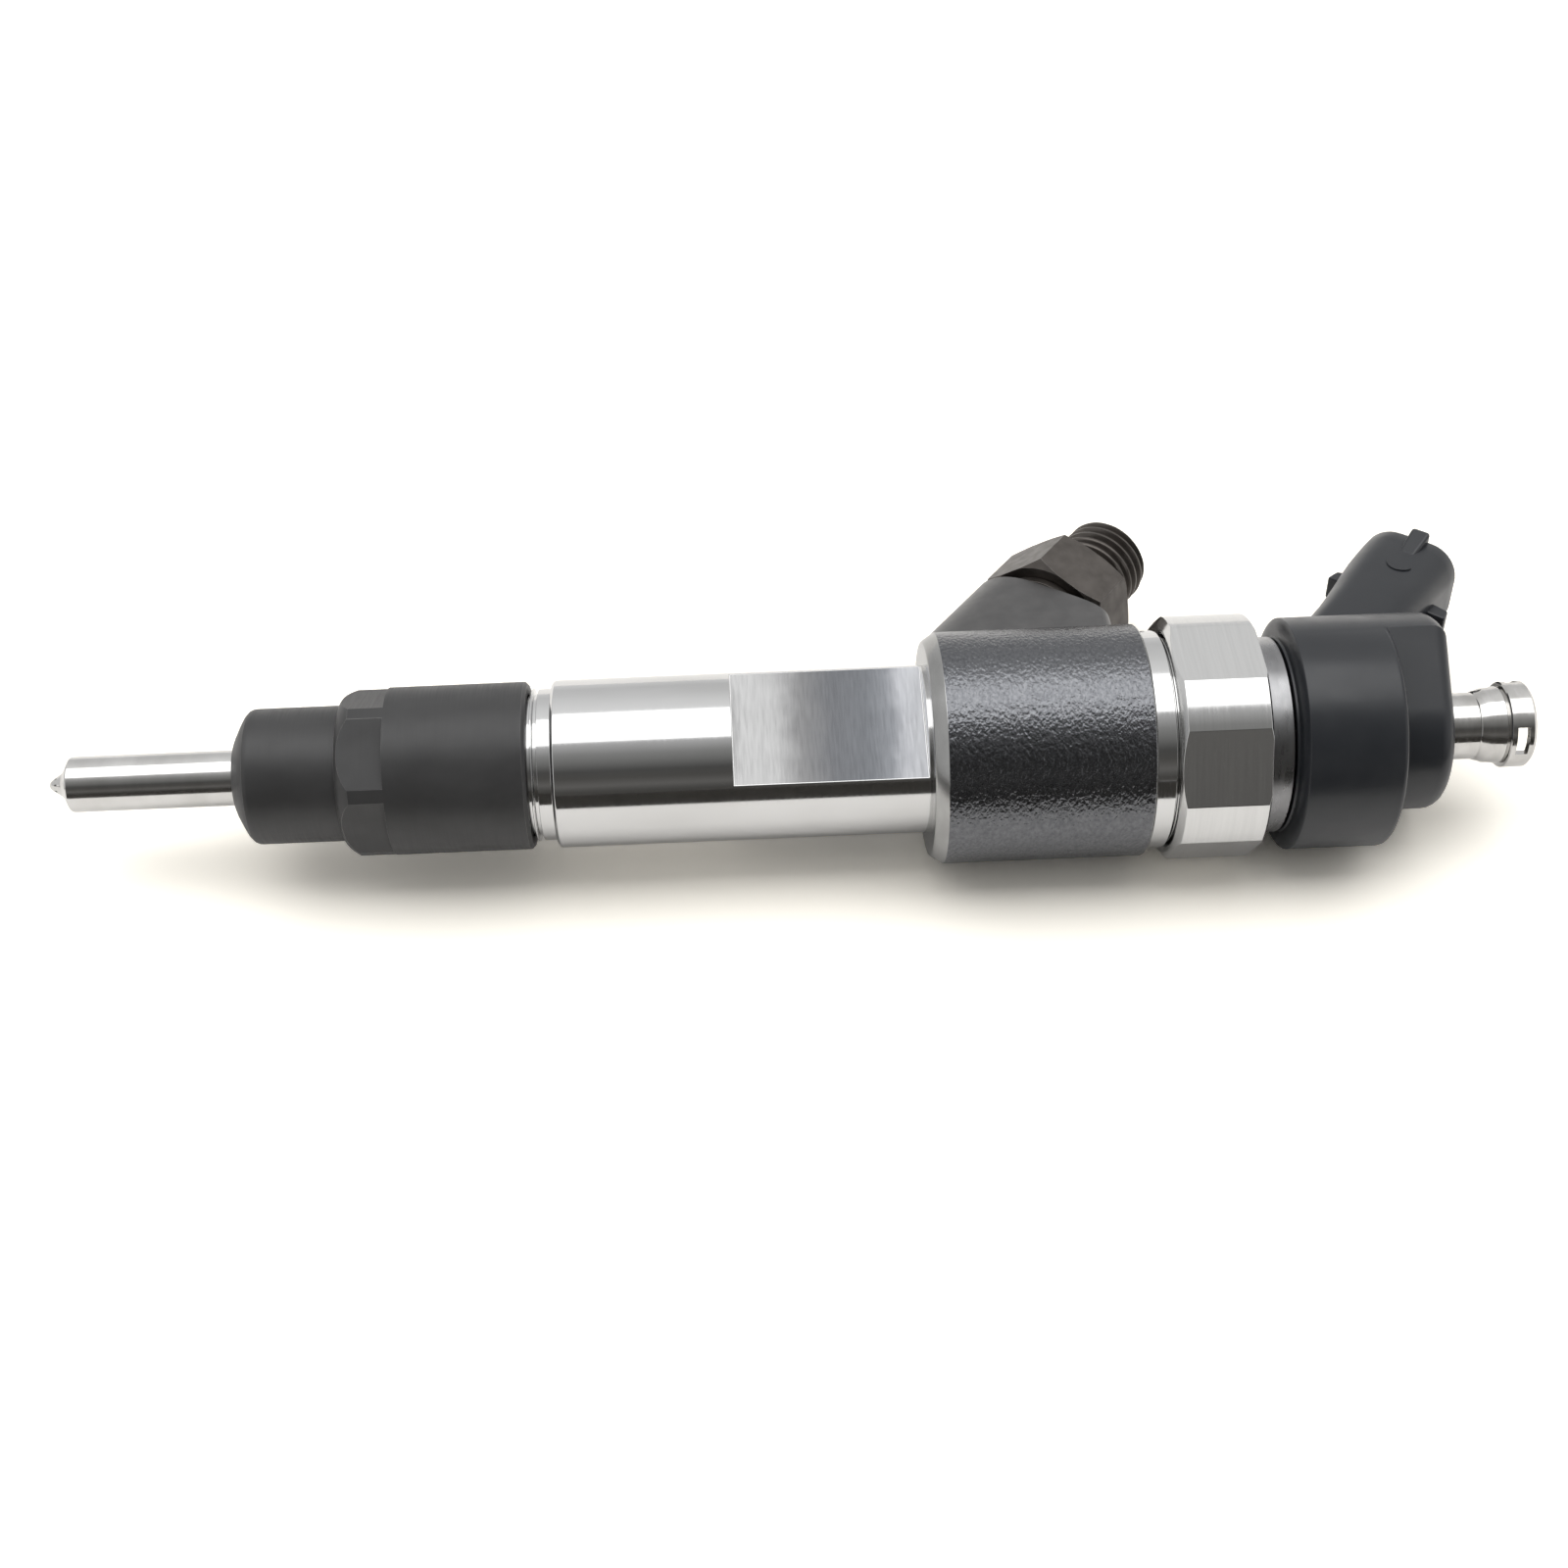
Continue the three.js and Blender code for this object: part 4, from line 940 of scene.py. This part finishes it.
# The wave's top and bottom are cut off, which gives the thread its flat crest and root.
ROOT_CUT, CREST_CUT = -0.62, 0.8
form = spread(thread_tree, wave, ROOT_CUT, CREST_CUT)
depth = reckon("SUBTRACT", crest, root)
proud = reckon("MULTIPLY", form, depth)
from_low = reckon("SUBTRACT", height, lowest)
from_high = reckon("SUBTRACT", highest, height)
from_end = reckon("MINIMUM", from_low, from_high)
proud = reckon("MINIMUM", proud, from_end)
radius = reckon("ADD", root, proud)
# The first and last rows fold in to the inner radius, which closes the ends.
NEAR_END = 1e-4
first_row = reckon("LESS_THAN", rise_part, NEAR_END)
last_row = reckon("GREATER_THAN", rise_part, 1 - NEAR_END)
end_row = reckon("MAXIMUM", first_row, last_row)
fold = reckon("SUBTRACT", radius, inner)
radius = reckon("SUBTRACT", radius, reckon("MULTIPLY", fold, end_row))
for axis, term in (("X", "COSINE"), ("Y", "SINE")):
    link(reckon("MULTIPLY", radius, reckon(term, angle)), point.inputs[axis])
link(height, point.inputs["Z"])
link(cloth.outputs["Mesh"], wrap.inputs["Geometry"])
link(point.outputs["Vector"], wrap.inputs["Position"])
link(wrap.outputs["Geometry"], seam.inputs["Geometry"])
end_tree(thread_tree, start, end, seam.outputs["Geometry"])
PITCH, THREAD_LOW, THREAD_HIGH = 1.5, 40.4, 50.45
ROWS_PER_PITCH = 14
ROWS = int((THREAD_HIGH - THREAD_LOW + PITCH) / PITCH * ROWS_PER_PITCH) + 1
thread = grow("inlet_thread", thread_tree, {
    "Root Radius": 5.22 * MM, "Crest Radius": 6.0 * MM, "Inner Radius": 4.8 * MM,
    "Pitch": PITCH * MM, "Low": THREAD_LOW * MM, "High": THREAD_HIGH * MM, "Rows": ROWS,
    "Material": PHOSPHATE,
})
THREAD_CREASE = 50
thread_shape = bmesh.new()
thread_shape.from_mesh(thread.data)
bmesh.ops.remove_doubles(thread_shape, verts=thread_shape.verts, dist=SAME_POINT)
bmesh.ops.bridge_loops(thread_shape, edges=[e for e in thread_shape.edges if e.is_boundary])
bmesh.ops.recalc_face_normals(thread_shape, faces=thread_shape.faces)
for vertex in thread_shape.verts:
    vertex.co = inlet_place(*(vertex.co / MM))
for line in thread_shape.edges:
    line.smooth = line.calc_face_angle(0) < math.radians(THREAD_CREASE)
thread_shape.to_mesh(thread.data)
thread_shape.free()
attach(thread, "housing")
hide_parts("inlet_fitting")

WASHER_OUTLINE = [(30.45, 6.2), (30.45, 7.3), (31.55, 7.3), (31.55, 6.2)]
washer = piece("inlet_washer", turned(WASHER_OUTLINE, place=around_inlet), [PHOSPHATE], edge=0.08)
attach(washer, "housing")
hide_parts("inlet_seal_washer")

# ---------------- springs and coil
# Inside: wire springs that seat the needle and the valve ball, and the magnet's copper winding.

SPRING_STEEL = new_finish("spring_wire", 1.0, 0.3, (0.42, 0.43, 0.45))
tint(SPRING_STEEL, (1.0, 1.0, 1.0), (0.36, 0.37, 0.39), (0.48, 0.49, 0.5))
COPPER = new_finish("enamelled_copper", 1.0, 0.25, (0.6, 0.27, 0.12))
tint(COPPER, (1.5, 0.5, 0.5), (0.55, 0.23, 0.1), (0.66, 0.31, 0.15))

coil_tree, start, end = new_tree("wound_wire", [
    ("Radius", "Float"), ("Length", "Float"), ("Turns", "Float"), ("Wire Radius", "Float"),
    ("Foot", "Vector"), ("Material", "Material"),
])
spiral = coil_tree.nodes.new("GeometryNodeCurveSpiral")
spiral.inputs["Resolution"].default_value = 40
wire = coil_tree.nodes.new("GeometryNodeCurvePrimitiveCircle")
wire.inputs["Resolution"].default_value = 10
drawn = coil_tree.nodes.new("GeometryNodeCurveToMesh")
drawn.inputs["Fill Caps"].default_value = True
lay = coil_tree.nodes.new("GeometryNodeTransform")
lay.inputs["Rotation"].default_value = (0, math.pi / 2, 0)
link = coil_tree.links.new
link(start.outputs["Radius"], spiral.inputs["Start Radius"])
link(start.outputs["Radius"], spiral.inputs["End Radius"])
link(start.outputs["Length"], spiral.inputs["Height"])
link(start.outputs["Turns"], spiral.inputs["Rotations"])
link(start.outputs["Wire Radius"], wire.inputs["Radius"])
link(spiral.outputs["Curve"], drawn.inputs["Curve"])
link(wire.outputs["Curve"], drawn.inputs["Profile Curve"])
link(drawn.outputs["Mesh"], lay.inputs["Geometry"])
link(start.outputs["Foot"], lay.inputs["Translation"])
end_tree(coil_tree, start, end, lay.outputs["Geometry"])
# Each spring's two ends, radius, wire radius and number of coils.
SPRINGS = [
    ("needle_spring", 50.1, 71.2, 3.7, 0.65, 6.0),
    ("armature_spring", 135.2, 136.2, 2.4, 0.2, 1.5),
    ("valve_spring", 141.2, 149.6, 1.65, 0.35, 5.0),
]
for name, low, high, radius, wire_radius, coils in SPRINGS:
    coil = grow(name + "_wire", coil_tree, {
        "Radius": radius * MM, "Length": (high - low - 2 * wire_radius) * MM, "Turns": coils,
        "Wire Radius": wire_radius * MM, "Foot": spot(low + wire_radius, 0, 0),
        "Material": SPRING_STEEL,
    })
    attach(coil, "housing")
    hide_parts(name)
WINDING_LOW, WINDING_HIGH, LAYER_TURNS, COIL_WIRE = 140.5, 144.9, 11.0, 0.195
LAYERS, FIRST_LAYER, LAYER_STEP = 5, 6.5, 0.4
for layer in range(LAYERS):
    winding = grow(f"coil_layer_{layer + 1}", coil_tree, {
        "Radius": (FIRST_LAYER + LAYER_STEP * layer) * MM, "Length": (WINDING_HIGH - WINDING_LOW) * MM,
        "Turns": LAYER_TURNS, "Wire Radius": COIL_WIRE * MM, "Foot": spot(WINDING_LOW, 0, 0),
        "Material": COPPER,
    })
    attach(winding, "housing")
    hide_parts("coil_winding")

# ---------------- inner parts
# The needle, the piston, the control valve and the magnet are turned parts that stay hidden in
# the body; each keeps its own solid and takes the finish of its real material.

HARD_STEEL = new_finish("lapped_hard_steel", 1.0, 0.16, (0.7, 0.71, 0.72))
tint(HARD_STEEL, (0.5, 0.3, 0.3), (0.64, 0.65, 0.66), (0.74, 0.75, 0.76))
vary(HARD_STEEL, (4.0, 0.2, 0.2), 0.12, 0.22)
SOFT_IRON = new_finish("magnet_iron", 1.0, 0.42, (0.45, 0.45, 0.46))
tint(SOFT_IRON, (1.2, 1.2, 1.2), (0.38, 0.38, 0.39), (0.5, 0.5, 0.51))
relief(SOFT_IRON, (4.0, 1.0, 1.0), 0.004)
BOBBIN_PLASTIC = new_finish("bobbin_plastic", 0.0, 0.5, (0.05, 0.04, 0.035))
tint(BOBBIN_PLASTIC, (0.8, 0.8, 0.8), (0.042, 0.034, 0.03), (0.06, 0.048, 0.042))
SEAL_RUBBER = new_finish("seal_rubber", 0.0, 0.7, (0.02, 0.02, 0.02))
tint(SEAL_RUBBER, (2.0, 2.0, 2.0), (0.016, 0.016, 0.016), (0.026, 0.026, 0.026))
INNER_PARTS = [
    (HARD_STEEL, ["nozzle_needle", "nozzle_dowel_pin_1", "nozzle_dowel_pin_2", "pressure_pin",
                  "needle_spring_shim", "valve_piston", "valve_body", "valve_ball", "ball_holder",
                  "armature_pin", "lift_shim", "valve_spring_shim", "inlet_filter"]),
    (SPRING_STEEL, ["circlip"]),
    (SOFT_IRON, ["armature_guide", "armature_plate", "magnet_core"]),
    (BLACK_OXIDE, ["valve_clamping_screw"]),
    (BOBBIN_PLASTIC, ["coil_bobbin"]),
    (SEAL_RUBBER, ["valve_body_seal", "solenoid_o_ring", "return_fitting_seal"]),
]
for inner_finish, names in INNER_PARTS:
    for name in names:
        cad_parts[name].material_slots[0].material = inner_finish

# ---------------- bench, light and camera
# A plain white bench under a wide soft light overhead and behind; the front of the studio is dark,
# so that the round steel shows dark bands between bright ones.

BENCH_REACH = 3.0
BENCH_TONE, BENCH_SEEN_TONE = (0.95, 0.93, 0.9), (1.4, 1.35, 1.24)
bench_shape = bmesh.new()
bmesh.ops.create_grid(bench_shape, x_segments=1, y_segments=1, size=BENCH_REACH)
bench_finish = new_finish("white_bench", 0.0, 0.9, BENCH_TONE)
nodes, link = bench_finish.node_tree.nodes, bench_finish.node_tree.links.new
nodes.remove(nodes["Principled BSDF"])
matt = nodes.new("ShaderNodeBsdfDiffuse")
lift = nodes.new("ShaderNodeMix")
lift.data_type = "RGBA"
seen_kind = nodes.new("ShaderNodeLightPath")
link(seen_kind.outputs["Is Camera Ray"], lift.inputs["Factor"])
lift_colours = [s for s in lift.inputs if s.type == "RGBA"]
for socket, tone in zip(lift_colours, (BENCH_TONE, BENCH_SEEN_TONE)):
    socket.default_value = (*tone, 1)
link(next(s for s in lift.outputs if s.type == "RGBA"), matt.inputs["Color"])
link(matt.outputs["BSDF"], nodes["Material Output"].inputs["Surface"])
bench = piece("bench", bench_shape, [bench_finish])
bench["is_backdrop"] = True

# A dark card in front, seen only in the steel's reflections.
CARD_AWAY, CARD_HEIGHT, CARD_HALF = 0.062, 0.02, 0.5
card_shape = bmesh.new()
for x, z in ((-CARD_HALF, 0), (CARD_HALF, 0), (CARD_HALF, CARD_HEIGHT), (-CARD_HALF, CARD_HEIGHT)):
    card_shape.verts.new((x, TIP.y - CARD_AWAY, z))
card_shape.faces.new(card_shape.verts)
card = piece("dark_card", card_shape, [new_finish("dark_card", 0.0, 1.0, (0.04, 0.037, 0.033))])
card.visible_camera = False
card.visible_diffuse = False
card.visible_shadow = False
card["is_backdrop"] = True

# The studio all round, by the height of each direction over the front horizon.
studio = bpy.data.worlds.new("studio")
studio.use_nodes = True
bpy.context.scene.world = studio
tree = studio.node_tree
backdrop = tree.nodes["Background"]
direction = tree.nodes.new("ShaderNodeTexCoord")
parts = tree.nodes.new("ShaderNodeSeparateXYZ")
tree.links.new(direction.outputs["Generated"], parts.inputs["Vector"])
reckon = reckoner(tree)
frontwards = reckon("MULTIPLY", parts.outputs["Y"], -1.0)
over_front = reckon("ARCTAN2", parts.outputs["Z"], frontwards)
turn_part = reckon("ADD", reckon("DIVIDE", over_front, 2 * math.pi), 0.5)
bands = tree.nodes.new("ShaderNodeValToRGB")
BRIGHTEST = 2.6
STUDIO_BANDS = [
    (-180, 0.8, 0.8, 0.8), (-1, 0.3, 0.3, 0.3), (2, 0.07, 0.066, 0.06), (6, 0.08, 0.078, 0.074),
    (14, 0.15, 0.146, 0.14), (24, 0.092, 0.089, 0.084), (34, 0.085, 0.084, 0.082), (46, 0.2, 0.2, 0.196),
    (57, 0.29, 0.29, 0.286), (70, 0.52, 0.52, 0.52), (73, 0.6, 0.6, 0.6),
    (75.5, BRIGHTEST, BRIGHTEST, BRIGHTEST), (115, BRIGHTEST, BRIGHTEST, BRIGHTEST),
    (118, 0.95, 0.95, 0.95), (150, 0.74, 0.74, 0.74), (166, 0.68, 0.68, 0.68), (180, 0.8, 0.8, 0.8),
]
fill_ramp(bands.color_ramp, [
    (degrees / 360 + 0.5, *[tone / BRIGHTEST for tone in colour]) for degrees, *colour in STUDIO_BANDS])
tree.links.new(turn_part, bands.inputs["Fac"])
WALL_STARTS, WALL_FULL, SIDE_WALL = 0.45, 0.85, 0.75
off_side = reckon("ABSOLUTE", parts.outputs["X"])
sideways = spread(tree, off_side, WALL_STARTS, WALL_FULL, course="SMOOTHSTEP")


def blend(factor, first, second):
    """A mix of two colours in the studio's tree, each a socket or a plain grey."""
    mix = tree.nodes.new("ShaderNodeMix")
    mix.data_type = "RGBA"
    tree.links.new(factor, mix.inputs["Factor"])
    for socket, term in zip([s for s in mix.inputs if s.type == "RGBA"], (first, second)):
        if isinstance(term, float):
            socket.default_value = (term, term, term, 1)
        else:
            tree.links.new(term, socket)
    return next(s for s in mix.outputs if s.type == "RGBA")


seen_kind = tree.nodes.new("ShaderNodeLightPath")
walled = blend(sideways, bands.outputs["Color"], SIDE_WALL / BRIGHTEST)
shown = blend(seen_kind.outputs["Is Camera Ray"], walled, 1 / BRIGHTEST)
tree.links.new(shown, backdrop.inputs["Color"])
backdrop.inputs["Strength"].default_value = BRIGHTEST
bpy.context.scene.view_settings.view_transform = "Standard"

ELEVATION, ROLL = math.radians(46.35), math.radians(2.42)
back = Vector((0, -math.cos(ELEVATION), math.sin(ELEVATION)))
level = Vector((0, math.sin(ELEVATION), math.cos(ELEVATION)))
right = Vector((math.cos(ROLL), 0, 0)) - level * math.sin(ROLL)
up = Vector((math.sin(ROLL), 0, 0)) + level * math.cos(ROLL)
eye = bpy.data.cameras.new("camera")
eye.lens, eye.sensor_width, eye.shift_x = 49.18, 36.0, 0.0375
eye.clip_start, eye.clip_end = 0.01, 20.0
camera = bpy.data.objects.new("camera", eye)
bpy.context.scene.collection.objects.link(camera)
bpy.context.scene.camera = camera
AXIS_FOOT = Vector((-0.00765, TIP.y, TIP.z))
CAMERA_AWAY, CAMERA_DOWN = 0.2685, 0.00337
stand = AXIS_FOOT - up * CAMERA_DOWN + back * CAMERA_AWAY
camera.matrix_world = Matrix((
    (right.x, up.x, back.x, stand.x), (right.y, up.y, back.y, stand.y),
    (right.z, up.z, back.z, stand.z), (0, 0, 0, 1)))

low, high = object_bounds()
{"cad": [list(cad_low), list(cad_high)], "visual": [list(low), list(high)]}
